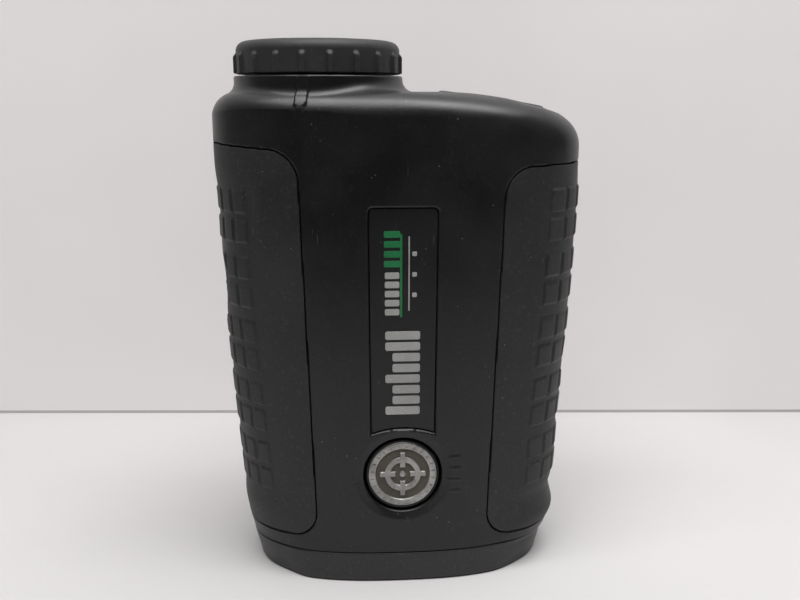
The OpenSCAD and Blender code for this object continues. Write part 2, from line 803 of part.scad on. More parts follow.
// Prism with its outline in X and Z
module prism_block(points) color(glass_colour) at_eye()
    translate([0, 7.5, 0]) rotate([90, 0, 0]) linear_extrude(15) polygon(points);
module half_prism() prism_block([[-7, 47], [7, 47], [7, 53.4], [-7, 61]]);
module roof_prism() prism_block([[-7, 61.6], [7, 54], [7, 71], [0, 76.5], [-7, 76.5]]);

holder_low = 79.7;
holder_high = 82.6;
module display_holder() {
    color(black_metal) at_eye() difference() {
        tube(12.4, 0, holder_low, holder_high);
        block([-6.6, -6.6, holder_low + 0.9], [6.6, 6.6, holder_high + 1]);
        block([-4.4, 5, holder_high - 0.9], [4.4, 13, holder_high + 1]);
        translate([0, 0, holder_low - 1]) cylinder(r = 5.6, h = 5);
    }
}
module display_module()
    color(glass_colour) at_eye() block([-6.5, -6.5, holder_low + 0.95], [6.5, 6.5, holder_high - 0.8]);
module display_flex() {
    top = holder_high - 0.75;
    color("#a8742c") at_eye() {
        block([-4, 5, top], [4, 13.8, top + 0.15]);
        block([-4, 13.65, 66], [4, 13.8, top + 0.1]);
    }
}

laser_z = 52;
module laser_diode() {
    color(brass_colour) at_eye() {
        along_x(0, laser_z, 4.3, 8.9, 15.4);
        along_x(0, laser_z, 3.2, 7.5, 9.2);
        along_x(0, laser_z, 2.4, 15, 16.8);
    }
}

module main_board() {
    color(board_colour) block([-15, 14.2, 18], [15, 15.2, 65.4]);
    color(black_metal) {
        block([-5, 12.9, 30], [5, 14.25, 40]);
        block([8, 13.3, 22], [13, 14.25, 27]);
        block([-4, 13.1, 52], [1, 14.25, 58]);
    }
}

left_housing();
right_housing();
top_grip();
bottom_grip();
front_bezel();
bezel_gasket();
housing_screws();
label_plate();
rear_label();
tripod_insert();
strap_pin();
eyepiece_barrel();
barrel_o_ring();
diopter_ring();
eyecup();
ocular_cell();
eye_lens();
lens_spacer();
field_lens();
ocular_retaining_ring();
diopter_drive_pin();
mode_button();
mode_button_disc();
mode_button_spring();
mode_button_o_ring();
mode_switch();
switch_board();
power_button();
power_button_spring();
power_button_o_ring();
power_switch();
power_switch_board();
battery_cap();
battery_cap_tab();
battery_cap_pin();
battery_cap_o_ring();
battery_cap_contact();
battery_tube();
battery();
battery_spring_contact();
battery_leads();
objective_cell();
objective_lens();
objective_retaining_ring();
objective_tube();
prism_housing();
roof_prism();
half_prism();
display_holder();
display_module();
display_flex();
receiver_cell();
receiver_lens();
receiver_retaining_ring();
receiver_cone();
photodiode();
receiver_board();
laser_diode();
main_board();
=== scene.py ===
"""Pocket laser rangefinder standing on its objective rim: visible pieces, finishes, light and camera."""
import json
import math

import bpy
import numpy as np
from mathutils import Matrix, Vector


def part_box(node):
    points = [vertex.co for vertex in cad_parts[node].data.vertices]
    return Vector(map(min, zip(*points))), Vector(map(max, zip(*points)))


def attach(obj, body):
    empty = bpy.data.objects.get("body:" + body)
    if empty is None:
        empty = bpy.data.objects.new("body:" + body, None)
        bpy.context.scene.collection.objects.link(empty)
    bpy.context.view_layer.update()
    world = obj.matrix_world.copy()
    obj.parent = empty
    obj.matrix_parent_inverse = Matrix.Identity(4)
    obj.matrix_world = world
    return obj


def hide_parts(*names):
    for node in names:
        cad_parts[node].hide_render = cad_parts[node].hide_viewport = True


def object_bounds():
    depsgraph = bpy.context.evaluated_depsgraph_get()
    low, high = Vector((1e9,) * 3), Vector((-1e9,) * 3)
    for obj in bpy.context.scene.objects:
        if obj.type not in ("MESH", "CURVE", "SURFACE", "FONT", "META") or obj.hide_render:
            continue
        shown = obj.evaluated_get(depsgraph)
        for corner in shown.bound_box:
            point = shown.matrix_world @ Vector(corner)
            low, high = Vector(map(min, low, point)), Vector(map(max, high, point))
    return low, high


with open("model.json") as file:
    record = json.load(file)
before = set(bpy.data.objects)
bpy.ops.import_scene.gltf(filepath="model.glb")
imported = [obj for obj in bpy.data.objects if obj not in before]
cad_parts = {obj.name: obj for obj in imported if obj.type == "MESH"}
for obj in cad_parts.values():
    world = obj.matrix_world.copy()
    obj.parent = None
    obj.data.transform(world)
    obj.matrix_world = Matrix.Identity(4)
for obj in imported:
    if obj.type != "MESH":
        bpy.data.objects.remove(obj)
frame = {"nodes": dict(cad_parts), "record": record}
size_at_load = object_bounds()

# ---- Driving sizes, in millimetres, from the frame ----

MM = 0.001


def box(node):
    low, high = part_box(node)
    return np.array(low) / MM, np.array(high) / MM


def joint(name):
    return next(j for j in frame["record"]["behaviour"]["joints"] if j["name"] == name)


whole_low, whole_high = (np.array(corner) / MM for corner in size_at_load)
HALF_TOP = (whole_high[0] - whole_low[0]) / 2
DEPTH_TOP = (whole_high[1] - whole_low[1]) / 2
NECK_TOP = box("left_housing")[1][2]
SHOULDER = NECK_TOP - 3.0
EYE = (box("eyecup")[0] + box("eyecup")[1]) / 2
EYECUP_LOW = box("eyecup")[0][2]
EYECUP_TOP = box("eyecup")[1][2]
SHELL_FOOT = box("left_housing")[0][2]
BEZEL_TOP = box("bezel_gasket")[0][2]
CAP_CENTRE = np.array(joint("cap_turn")["pos_m"]) / MM
CAP_AXIS = np.array(joint("cap_turn")["axis"])
MODE_DISC = box("mode_button_disc")
MODE_Z = (MODE_DISC[0][2] + MODE_DISC[1][2]) / 2
POWER = box("power_button")
POWER_Z = (POWER[0][2] + POWER[1][2]) / 2
TRIPOD = box("tripod_insert")
TRIPOD_Z = (TRIPOD[0][2] + TRIPOD[1][2]) / 2
LENS_X = [(box(n)[0][0] + box(n)[1][0]) / 2 for n in ("objective_cell", "receiver_cell")]

SIDE_TAPER = 4.3
SIDE_CURVE = 1.6
SIDE_RUN = 83.0             # height over which the sides draw in
DEPTH_TAPER = 1.15
TAPER_Z = 90.0              # both tapers end here
LEAN = math.atan(DEPTH_TAPER / TAPER_Z)
SQUARE_FOOT = 2.55          # superellipse power of the section at the floor
SQUARE_GAIN = 0.2           # what the power has gained at SQUARE_Z
SQUARE_Z = 60.0
ARC_Z = 88.0                # where the long slope of the shoulder starts
ARC_X = 5.0
ARC_N = 2.5
NEAR_CORNER = 5.0           # corner radius beside the eyepiece
FACE_CORNER = 4.9           # radius between each face and the shoulder
NECK_R = 16.85
NECK_BORE = 14.8
NECK_FILLET = 2.4
CELL = 0.2                  # spacing of the body's surface grid


# ---- The body's outer surface ----

def section_n(z):
    return SQUARE_FOOT + SQUARE_GAIN * np.minimum(z, SQUARE_Z) / SQUARE_Z


def side_at(z):
    return HALF_TOP - SIDE_TAPER * (np.maximum(0, TAPER_Z - z) / SIDE_RUN) ** SIDE_CURVE


def round_over(z, radius):
    up = np.clip(z - (SHOULDER - radius), 0, radius)
    return radius - np.sqrt(radius * radius - up * up)


def right_at(z):
    share = np.clip((z - ARC_Z) / (SHOULDER - ARC_Z), 0, 1)
    arc = ARC_X + (HALF_TOP - ARC_X) * (1 - share ** ARC_N) ** (1 / ARC_N)
    return np.where(z > ARC_Z, arc, side_at(z))


def left_at(z):
    return side_at(z) - round_over(z, NEAR_CORNER)


def half_w(z):
    return (left_at(z) + right_at(z)) / 2


def mid_x(z):
    return (right_at(z) - left_at(z)) / 2


def half_d(z):
    return DEPTH_TOP - DEPTH_TAPER * (1 - np.minimum(z, TAPER_Z) / TAPER_Z) - round_over(z, FACE_CORNER)


def smooth(low, high, value):
    t = np.clip((value - low) / (high - low), 0, 1)
    return t * t * (3 - 2 * t)


def hump(value, centre, width):
    return np.exp(-((value - centre) / width) ** 2)


RIDGE_START = 19            # distance from the middle where the bulge starts
RIDGE_FULL = 27
NEAR_HUMPS = ((0.35, 15, 3.0),)                         # rise, height and half width of each hump
NEAR_RAMPS = ((-0.5, 11, 6.5), (-0.9, 7.5, 0))          # change, and the heights it starts and ends at
FAR_HUMPS = ((1.15, 10.9, 2.6), (-0.3, 16.0, 1.5))
FAR_RAMPS = ((0.45, 34, 20), (-0.8, 7.4, 5.2), (-0.6, 5, 0))


def swell(z, humps, ramps):
    rises = sum(rise * hump(z, centre, width) for rise, centre, width in humps)
    return rises + sum(change * smooth(start, end, z) for change, start, end in ramps)


def ridge(x, z):
    """Bulge across the lower end of each side, and the way the foot draws in below it."""
    share = smooth(RIDGE_START, RIDGE_FULL, np.abs(x))
    return share * np.where(x < 0, swell(z, NEAR_HUMPS, NEAR_RAMPS), swell(z, FAR_HUMPS, FAR_RAMPS))


def skin(phi, z):
    """Points of the outer surface at angle phi about the section's centre and height z."""
    a, b, n = half_w(z), half_d(z), section_n(z)
    r = ((np.abs(np.cos(phi)) / a) ** n + (np.abs(np.sin(phi)) / b) ** n) ** (-1 / n)
    x, y = r * np.cos(phi), r * np.sin(phi)
    grow = 1 + ridge(x, z) / np.hypot(x, y)
    return np.stack([mid_x(z) + x * grow, y * grow, z + 0 * phi], -1)


def even_angles(count, z=50.0):
    """Angles that divide the section at z into equal lengths, starting at +X."""
    fine = np.linspace(0, 2 * np.pi, 20001)
    p = skin(fine, np.full_like(fine, z))
    run = np.concatenate([[0], np.cumsum(np.linalg.norm(np.diff(p, axis=0), axis=1))])
    return np.interp(np.arange(count) / count * run[-1], run, fine)


def grid_normals(points):
    """Outward normals of a grid whose columns run round and whose rows run up."""
    along = np.roll(points, -1, 1) - np.roll(points, 1, 1)
    up = np.gradient(points, axis=0)
    n = np.cross(along, up)
    return n / np.maximum(np.linalg.norm(n, axis=-1, keepdims=True), 1e-9)


# ---- Mesh helpers ----

def ring_quads(rows, columns):
    """Quads of a grid that closes on itself round its columns."""
    j = np.arange(columns)
    k = (j + 1) % columns
    base = (np.arange(rows - 1) * columns)[:, None]
    return np.stack([base + j, base + k, base + columns + k, base + columns + j], -1).reshape(-1, 4)


def compact(points, quads):
    used, flat = np.unique(quads, return_inverse=True)
    return points[used], flat.reshape(quads.shape)


def joined(*meshes):
    points, quads, offset = [], [], 0
    for p, q in meshes:
        points.append(p)
        quads.append(q + offset)
        offset += len(p)
    return np.concatenate(points), np.concatenate(quads)


def make_piece(name, mesh_data, body, material, replaced=(), sharp=42, paint=None):
    points, quads = compact(*mesh_data)
    mesh = bpy.data.meshes.new(name)
    mesh.vertices.add(len(points))
    mesh.vertices.foreach_set("co", (points * MM).astype(np.float32).ravel())
    mesh.loops.add(quads.size)
    mesh.loops.foreach_set("vertex_index", quads.astype(np.int32).ravel())
    mesh.polygons.add(len(quads))
    mesh.polygons.foreach_set("loop_start", np.arange(0, quads.size, 4, dtype=np.int32))
    for m in material if isinstance(material, (list, tuple)) else [material]:
        mesh.materials.append(m)
    if paint is not None:
        mesh.polygons.foreach_set("material_index", paint(points[quads].mean(1)).astype(np.int32))
    mesh.update(calc_edges=True)
    mesh.validate()
    mesh.polygons.foreach_set("use_smooth", np.ones(len(mesh.polygons), bool))
    mesh.set_sharp_from_angle(angle=math.radians(sharp))
    piece = bpy.data.objects.new(name, mesh)
    bpy.context.collection.objects.link(piece)
    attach(piece, body)
    if replaced:
        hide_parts(*replaced)
    return piece


def basis(axis):
    n = np.array(axis, float) / np.linalg.norm(axis)
    helper = np.array([0, 0, 1.0]) if abs(n[2]) < 0.9 else np.array([0, 1.0, 0])
    e1 = np.cross(helper, n)
    e1 /= np.linalg.norm(e1)
    return e1, np.cross(n, e1), n


def hole(mesh_data, centre, axis, radius, profile, stretch=(1, 1), power=2, reach=6, cell=CELL):
    """Cuts an opening into a grid and lines it. A profile entry is (inset, depth, share of flatness)."""
    points, quads = mesh_data
    points = points.copy()
    e1, e2, n = basis(axis)
    centre = np.array(centre, float)

    def seen_along_axis(some):
        """Place across the opening, distance along its axis, and radius in the opening's own shape."""
        offset = some - centre
        flat = np.stack([offset @ e1, offset @ e2], -1) / stretch
        return flat, offset @ n, (np.abs(flat) ** power).sum(-1) ** (1 / power)

    flat, depth, rho = seen_along_axis(points)
    facing = np.abs(depth) < reach
    snap = facing & (np.abs(rho - radius) < 0.6 * cell)
    grow = (radius / rho[snap] - 1)[:, None] * flat[snap] * stretch
    points[snap] += grow[:, :1] * e1 + grow[:, 1:] * e2
    inside = facing & (rho < radius) & ~snap
    gone = inside[quads].any(1)
    removed = quads[gone]
    a = removed.ravel()
    b = np.roll(removed, -1, 1).ravel()
    size = len(points)
    border = ~np.isin(a * size + b, b * size + a)
    follow = dict(zip(a[border].tolist(), b[border].tolist()))
    loop = [next(iter(follow))]
    while len(loop) <= len(follow):
        step = follow[loop[-1]]
        if step == loop[0]:
            break
        loop.append(step)
    loop = np.array(loop)
    flat, depth, rho = seen_along_axis(points[loop])
    unit = flat / rho[:, None]

    def ring(inset, down, level):
        xy = unit * (radius - inset) * stretch
        height = depth * (1 - level) + depth.mean() * level - down
        return centre + xy[:, :1] * e1 + xy[:, 1:] * e2 + height[:, None] * n

    points[loop] = ring(0, 0, 0)
    last, added, faces = loop, [], []
    for inset, down, level in profile:
        new = size + np.arange(len(loop))
        size += len(loop)
        added.append(ring(inset, down, level))
        faces.append(np.stack([last, np.roll(last, -1), np.roll(new, -1), new], -1))
        last = new
    return np.concatenate([points] + added), np.concatenate([quads[~gone]] + faces)


def lip(radius, deep, steps=4):
    """Profile of a rounded edge that runs down into a straight wall."""
    turns = [math.pi / 2 * (i + 1) / steps for i in range(steps)]
    edge = [(radius * math.sin(t), radius * (1 - math.cos(t)), 0) for t in turns]
    return edge + [(radius, radius + deep * 0.3, 0.5), (radius, deep, 1)]


def turned(profile, columns, centre=(0, 0), relief=None):
    """Revolves (radius, z) points about a vertical axis."""
    profile = np.array(profile, float)
    angle = np.arange(columns) / columns * 2 * np.pi
    r = np.repeat(profile[:, :1], columns, 1)
    z = np.repeat(profile[:, 1:], columns, 1)
    if relief is not None:
        r = r + relief(angle[None, :], z, r)
    points = np.stack([centre[0] + r * np.cos(angle), centre[1] + r * np.sin(angle), z], -1)
    return points.reshape(-1, 3), ring_quads(len(profile), columns)


def arc(cx, cz, radius, start, end, steps=8):
    """Points of an arc, angles in degrees."""
    turn = np.radians(np.linspace(start, end, steps + 1))
    return [(cx + radius * math.cos(t), cz + radius * math.sin(t)) for t in turn]


def aligned(mesh_data, centre, axis, x_axis=None):
    """Stands a piece drawn about +Z at the origin on a point and along an axis."""
    points, quads = mesh_data
    n = np.array(axis, float) / np.linalg.norm(axis)
    e1 = np.array(x_axis, float) if x_axis is not None else basis(axis)[0]
    e1 = e1 - n * (e1 @ n)
    e1 /= np.linalg.norm(e1)
    e2 = np.cross(n, e1)
    turn = np.stack([e1, e2, n])
    return points @ turn + np.array(centre, float), quads


def shifted(mesh_data, x, y):
    points, quads = mesh_data
    return points + [x, y, 0], quads


def plate(outline, low, high, bevel=0.15):
    """Closed slab with a rounded upper edge over a convex outline of (x, y) points."""
    outline = np.array(outline, float)
    middle = outline.mean(0)
    size = np.abs(outline - middle).max(0)

    def level(inset, z):
        grow = 1 - inset / size
        return np.column_stack([middle + (outline - middle) * grow, np.full(len(outline), z)])

    rings = [level(size * 0.98, low), level(0, low), level(0, high - bevel)]
    rings += [level(bevel * (1 - math.cos(t)), high - bevel + bevel * math.sin(t))
              for t in (0.5, 1.0, math.pi / 2)]
    rings += [level(bevel * 1.3, high), level(size * 0.98, high)]
    return np.concatenate(rings), ring_quads(len(rings), len(outline))


def rounded_rectangle(width, height, corner, steps=6):
    points = []
    for turn, (sx, sy) in zip((0, 90, 180, 270), ((1, 1), (-1, 1), (-1, -1), (1, -1))):
        cx, cy = sx * (width / 2 - corner), sy * (height / 2 - corner)
        points += arc(cx, cy, corner, turn, turn + 90, steps)
    return points


def box_distance(x, y, half_x, half_y, corner):
    qx = np.abs(x) - (half_x - corner)
    qy = np.abs(y) - (half_y - corner)
    outside = np.hypot(np.maximum(qx, 0), np.maximum(qy, 0))
    return outside + np.minimum(np.maximum(qx, qy), 0) - corner


# ---- Grips' outlines on the surface ----

FAR = 50.0                  # distance given to points that can't lie in an outline
GRIP_FOOT = {-1: box("top_grip")[0][2], 1: box("bottom_grip")[0][2] - 1.0}
GRIP_TOP = {-1: box("top_grip")[1][2], 1: box("bottom_grip")[1][2]}
GRIP_CORNER = 5.5
GRIP_LIFT = {-1: 1.75, 1: 0.75}     # rise of the top edge towards the middle of each side
EDGE_LOW = 17.5
EDGE_HIGH = 19.6


def edge_x(z):
    share = (z - GRIP_FOOT[-1]) / (GRIP_TOP[1] - GRIP_FOOT[-1])
    return EDGE_LOW + (EDGE_HIGH - EDGE_LOW) * share


def side_run(points, side):
    """Distance along each row from the middle of one side."""
    step = np.linalg.norm(np.roll(points, -1, 1) - points, axis=-1)
    run = np.concatenate([np.zeros((len(points), 1)), np.cumsum(step, 1)], 1)
    total = run[:, -1:]
    run = run[:, :-1]
    if side > 0:
        return np.minimum(run, total - run)
    middle = points.shape[1] // 2
    return np.abs(run - run[:, middle:middle + 1])


def row_reach(row, row_run, side):
    """Distance from a side's middle line to the edge of its grip, along one row."""
    order = np.argsort(-side * row[:, 0])
    return np.interp(-edge_x(row[:, 2].mean()), -side * row[order, 0], row_run[order])


def grip_distance(points, side):
    """Distance outside the outline of one grip, and distance from the side's middle line."""
    run = side_run(points, side)
    z = points[..., 2]
    reach = np.array([row_reach(row, row_run, side) for row, row_run in zip(points, run)])[:, None]
    middle = (GRIP_TOP[side] + GRIP_FOOT[side]) / 2
    half = (GRIP_TOP[side] - GRIP_FOOT[side]) / 2
    lift = GRIP_LIFT[side] * (1 - np.clip(run / reach, 0, 1)) ** 0.8 * smooth(middle, middle + half, z)
    mine = side * points[..., 0] > 0
    outline_half = 30
    distance = box_distance(run - (reach - outline_half), z - middle - lift, outline_half, half, GRIP_CORNER)
    return np.where(mine, distance, FAR), run


# ---- Body grid ----

JOIN_Z = 90.0
COLUMNS = 960
body_angles = even_angles(COLUMNS)
body_heights = np.linspace(SHELL_FOOT, JOIN_Z, int((JOIN_Z - SHELL_FOOT) / CELL) + 1)
PHI, Z = np.meshgrid(body_angles, body_heights)


def snapped(phi, z, distance):
    """Moves the grid's nearest points onto the contour where distance is zero."""
    points = skin(phi, z)
    d = distance(points)
    step_s = np.linalg.norm(np.roll(points, -1, 1) - np.roll(points, 1, 1), axis=-1) / 2
    step_z = np.gradient(z, axis=0)
    slope_s = (np.roll(d, -1, 1) - np.roll(d, 1, 1)) / 2 / step_s
    slope_z = np.gradient(d, axis=0) / step_z
    size = np.maximum(slope_s ** 2 + slope_z ** 2, 0.25)
    near = np.abs(d) < 0.6 * CELL
    turn = (np.roll(phi, -1, 1) - np.roll(phi, 1, 1)) / 2
    turn = np.where(turn < 0, turn + np.pi, turn)
    phi = phi - np.where(near, d * slope_s / size / step_s * turn, 0)
    z = z - np.where(near, d * slope_z / size, 0)
    return phi, np.clip(z, SHELL_FOOT, JOIN_Z)


SEAM = 0.15                 # gap round the badge plate and the back label
LABEL_LOW, LABEL_HIGH = box("label_plate")
LABEL_W = LABEL_HIGH[0] - LABEL_LOW[0] + 2 * SEAM
LABEL_BASE = LABEL_LOW[2] - SEAM
LABEL_TOP = LABEL_HIGH[2] + SEAM
DIAL_Z = MODE_Z - 0.4       # the drawn disc sits a little lower and further out than in CAD
DIAL_Y = MODE_DISC[0][1] - 0.6
DISH_R = 9.9
NOTCH_R = 18.0              # arc at the foot of the badge plate
NOTCH_RISE = 10.1           # how far over the dial's middle the arc's top lies
NOTCH_Z = DIAL_Z + NOTCH_RISE - NOTCH_R
REAR_LOW, REAR_HIGH = box("rear_label")


def label_distance(points):
    x, y, z = points[..., 0], points[..., 1], points[..., 2]
    base = LABEL_BASE - 4
    width = LABEL_W / 2 + 0.2 * smooth(LABEL_BASE, LABEL_TOP, z)
    slab = box_distance(x, z - (base + LABEL_TOP) / 2, width, (LABEL_TOP - base) / 2, 1.0)
    dish = NOTCH_R - np.hypot(x, z - NOTCH_Z)
    return np.where(y < 0, np.maximum(slab, dish), FAR)


def rear_distance(points):
    x, y, z = points[..., 0], points[..., 1], points[..., 2]
    centre = (REAR_LOW + REAR_HIGH) / 2
    half = (REAR_HIGH - REAR_LOW) / 2 + SEAM
    slab = box_distance(x - centre[0], z - centre[2], half[0], half[2], 1.2)
    return np.where(y > 0, slab, FAR)


def seat_distance(side):
    return lambda points: grip_distance(points, side)[0]


for contour in (seat_distance(-1), seat_distance(1), label_distance, rear_distance):
    PHI, Z = snapped(PHI, Z, contour)
BASE = skin(PHI, Z)
NORMAL = grid_normals(BASE)
left_distance, left_run = grip_distance(BASE, -1)
right_distance, right_run = grip_distance(BASE, 1)
seat = np.minimum(left_distance, right_distance)


def edge_drop(distance, radius):
    """How far a rounded edge has dropped at this distance from it."""
    t = np.clip(1 - distance / radius, 0, 1)
    return radius * (1 - np.sqrt(1 - t * t))


MARK_X = 10.6
MARK_STEP = 2.5
MARK_L = 2.9
MARK_W = 1.0
MARK_RISE = 0.11
SEAT_DEPTH = 1.3
LABEL_SINK = 0.85
REAR_SINK = 0.35


def marks(points):
    """Four small raised bars beside the mode button."""
    total = 0
    for i in range(4):
        d = box_distance(points[..., 0] - MARK_X, points[..., 2] - DIAL_Z - (i - 1.5) * MARK_STEP,
                         MARK_L / 2, MARK_W / 2, 0.3)
        total = total + smooth(0, 0.45, -d) * (points[..., 1] < 0)
    return MARK_RISE * total


def shell_relief():
    relief = -edge_drop(np.maximum(seat, 0), 0.32)
    relief = np.where(seat < -0.02, -SEAT_DEPTH, relief)
    d = label_distance(BASE)
    relief = np.where(d < -0.02, -LABEL_SINK, relief - edge_drop(np.maximum(d, 0), 0.18) * (d < 5))
    d = rear_distance(BASE)
    relief = np.where(d < -0.02, -REAR_SINK, relief)
    return relief + marks(BASE)


# ---- Shoulder and neck ----

RAY_STEPS = 500             # points along each ray before it is divided evenly
RAY_CROWDING = 1.3
WALL_STEPS = 14
NECK_EDGE = 0.35            # radius of the neck's top edge
SHOULDER_ROWS = 190

def surface_height(x, y):
    """Height of the shoulder over a point, by bisection."""
    low = np.full(x.shape, JOIN_Z - 2.0)
    high = np.full(x.shape, SHOULDER)
    for _ in range(26):
        z = (low + high) / 2
        n = section_n(z)
        filled = (np.abs(x - mid_x(z)) / half_w(z)) ** n + (np.abs(y) / half_d(z)) ** n
        low = np.where(filled < 1, z, low)
        high = np.where(filled < 1, high, z)
    return (low + high) / 2


def shoulder_rows(outline, rows):
    """Grid rows from the body's outline at the joining height in to the neck and up its wall."""
    ray = outline[:, :2] - EYE[:2]
    reach = np.linalg.norm(ray, axis=1)
    unit = ray / reach[:, None]
    share = np.linspace(0, 1, RAY_STEPS)[None, :] ** RAY_CROWDING
    r = NECK_R + (reach[:, None] - NECK_R) * share
    x = EYE[0] + unit[:, :1] * r
    y = EYE[1] + unit[:, 1:] * r
    z = surface_height(x, y)
    z[:, -1] = outline[:, 2]
    ball = NECK_R + NECK_FILLET
    under = np.sqrt(np.maximum(0, NECK_FILLET ** 2 - (r - ball) ** 2))
    rest = np.where(r < ball + NECK_FILLET, z + under, -np.inf)
    touch = rest.argmax(1)
    ball_z = rest.max(1)[:, None]
    contact = np.take_along_axis(r, touch[:, None], 1)
    z = np.where(r < contact, ball_z - under, z)
    path = np.stack([x, y, z], -1)[:, ::-1]
    climb = np.linspace(0, 1, WALL_STEPS + 1)[None, 1:]
    wall_z = ball_z + (NECK_TOP - NECK_EDGE - ball_z) * climb
    wall_xy = EYE[:2] + unit * NECK_R
    wall = np.concatenate([np.repeat(wall_xy[:, None], WALL_STEPS, 1), wall_z[..., None]], -1)
    path = np.concatenate([path, wall], 1)
    step = np.linalg.norm(np.diff(path, axis=1), axis=-1)
    run = np.concatenate([np.zeros((len(path), 1)), np.cumsum(step, 1)], 1)
    even = np.linspace(0, 1, rows)
    out = np.stack([
        np.stack([np.interp(even * run[j, -1], run[j], path[j, :, k]) for k in range(3)], -1)
        for j in range(len(path))
    ], 1)
    return out[1:], unit


PAD_ANGLE = math.radians(-90 - 7.8)
PAD_LOW = 96.5
PAD_PAST = 3.0              # how far the pad's outline runs past the top of the neck
PAD_HALF = 1.05
PAD_SLANT = 0.08
PAD_RISE = 0.42


def pad_relief(points, unit):
    """Raised index pad down the front of the neck."""
    across = (np.arctan2(unit[:, 1], unit[:, 0]) - PAD_ANGLE) * NECK_R
    z = points[..., 2]
    middle = (PAD_LOW + NECK_TOP + PAD_PAST) / 2
    across = across[None, :] - PAD_SLANT * (z - NECK_TOP)
    d = box_distance(across, z - middle, PAD_HALF, NECK_TOP + PAD_PAST - middle, 1.0)
    near = np.hypot(points[..., 0] - EYE[0], points[..., 1] - EYE[1]) < NECK_R + 4
    return np.where(near, PAD_RISE * np.clip(0.5 - d / 0.24, 0, 1), 0)


def cap_seat(points):
    """Drop of the shoulder round the outer half of the battery cap."""
    outward = points[..., 0] - CAP_CENTRE[0]
    reach = np.hypot(outward, points[..., 1])
    return 0.3 * smooth(14.5, 12, reach) * smooth(0, 8, outward)


def neck_rim(unit):
    """Rounded top edge of the neck and the way down into its bore."""
    rim = arc(NECK_R - NECK_EDGE, NECK_TOP - NECK_EDGE, NECK_EDGE, 0, 90, 4)[1:]
    rim += [(NECK_BORE + 0.3, NECK_TOP), (NECK_BORE, NECK_TOP - 0.3), (NECK_BORE, NECK_TOP - 8)]
    return np.array([np.column_stack([EYE[:2] + unit * r, np.full(len(unit), z)]) for r, z in rim])


CAP_HOLE_R = 11.55
POWER_HOLE_R = 7.2
TRIPOD_HOLE_R = 5.9
STRAP_HALF = 3.6
STRAP_DEPTH = 5.2


def housing_mesh():
    """The shell from its foot to the neck's bore, with its dish, recesses and openings."""
    lower = BASE + NORMAL * shell_relief()[..., None]
    upper, unit = shoulder_rows(BASE[-1], SHOULDER_ROWS)
    upper = upper + grid_normals(upper) * pad_relief(upper, unit)[..., None]
    upper[..., 2] -= cap_seat(upper)
    whole = np.concatenate([lower, upper, neck_rim(unit)])
    inner = skin(body_angles, np.full(COLUMNS, SHELL_FOOT))[None] * [0.93, 0.9, 1]
    whole = np.concatenate([inner, whole])
    points, quads = whole.reshape(-1, 3), ring_quads(len(whole), COLUMNS)
    dish = [(0.2, 0.02, 0), (0.5, 0.1, 0), (0.9, 0.22, 0.4), (1.5, 0.4, 1), (1.7, 0.47, 1), (1.86, 0.6, 1),
            (1.93, 0.8, 1), (1.93, 4.5, 1)]
    mesh = hole((points, quads), (0, -half_d(DIAL_Z), DIAL_Z), (0, -1, 0), DISH_R, dish)
    mesh = hole(mesh, CAP_CENTRE, CAP_AXIS, CAP_HOLE_R, lip(0.3, 5), cell=0.3)
    mesh = hole(mesh, (-side_at(POWER_Z), 0, POWER_Z), (-1, 0, 0), POWER_HOLE_R, lip(0.2, 3), reach=4)
    mesh = hole(mesh, (side_at(TRIPOD_Z), 0, TRIPOD_Z), (1, 0, 0), TRIPOD_HOLE_R, lip(0.2, 4), reach=4)
    pin_x, _, pin_z = sum(box("strap_pin")) / 2
    strap = (pin_x, half_d(pin_z), pin_z)
    recess = lip(0.3, STRAP_DEPTH) + [(3.2, STRAP_DEPTH, 1)]
    return hole(mesh, strap, (0, 1, 0), STRAP_HALF, recess, stretch=(1, 0.9), power=7)


def grip_mesh(side, axis_z, opening):
    """One grip: the body's surface inside its outline, with tiles, a ridge and a rounded edge."""
    distance, run = (left_distance, left_run) if side < 0 else (right_distance, right_run)
    round_hole = np.hypot(BASE[..., 1], BASE[..., 2] - axis_z)
    height = tile_height(side, run, BASE, smooth(opening + 1.0, opening + 1.8, round_hole))
    height = height * np.clip((-distance - 1.5) / 0.5, 0, 1)
    edge = edge_drop(np.maximum(-distance, 0), 0.45)
    relief = height - edge - np.where(distance > -0.06, 0.85, 0)
    points = (BASE + NORMAL * relief[..., None]).reshape(-1, 3)
    quads = ring_quads(len(BASE), COLUMNS)
    inside = (distance.ravel()[quads] < 0.03).all(1)
    return compact(points, quads[inside])


TILE_TOP = 81.5
TILE_PAIR = 12.9            # pitch of the pairs of tile rows
TILE_H = 5.15
TILE_GAP = 0.6
TILE_ROWS = 5
TILE_RISE = 0.3
TILE_SINK = {-1: 0.17, 1: -0.2}                 # how far each tiled field sits inside the body's outline
TILE_COLUMNS = {-1: (9, 3.85), 1: (8, 4.7)}     # number and pitch round each side
TILE_DIP = {-1: 0.3, 1: 0.0}                    # a further dip about DIP_Z
DIP_Z = 77
FIELD_H = TILE_PAIR * TILE_ROWS


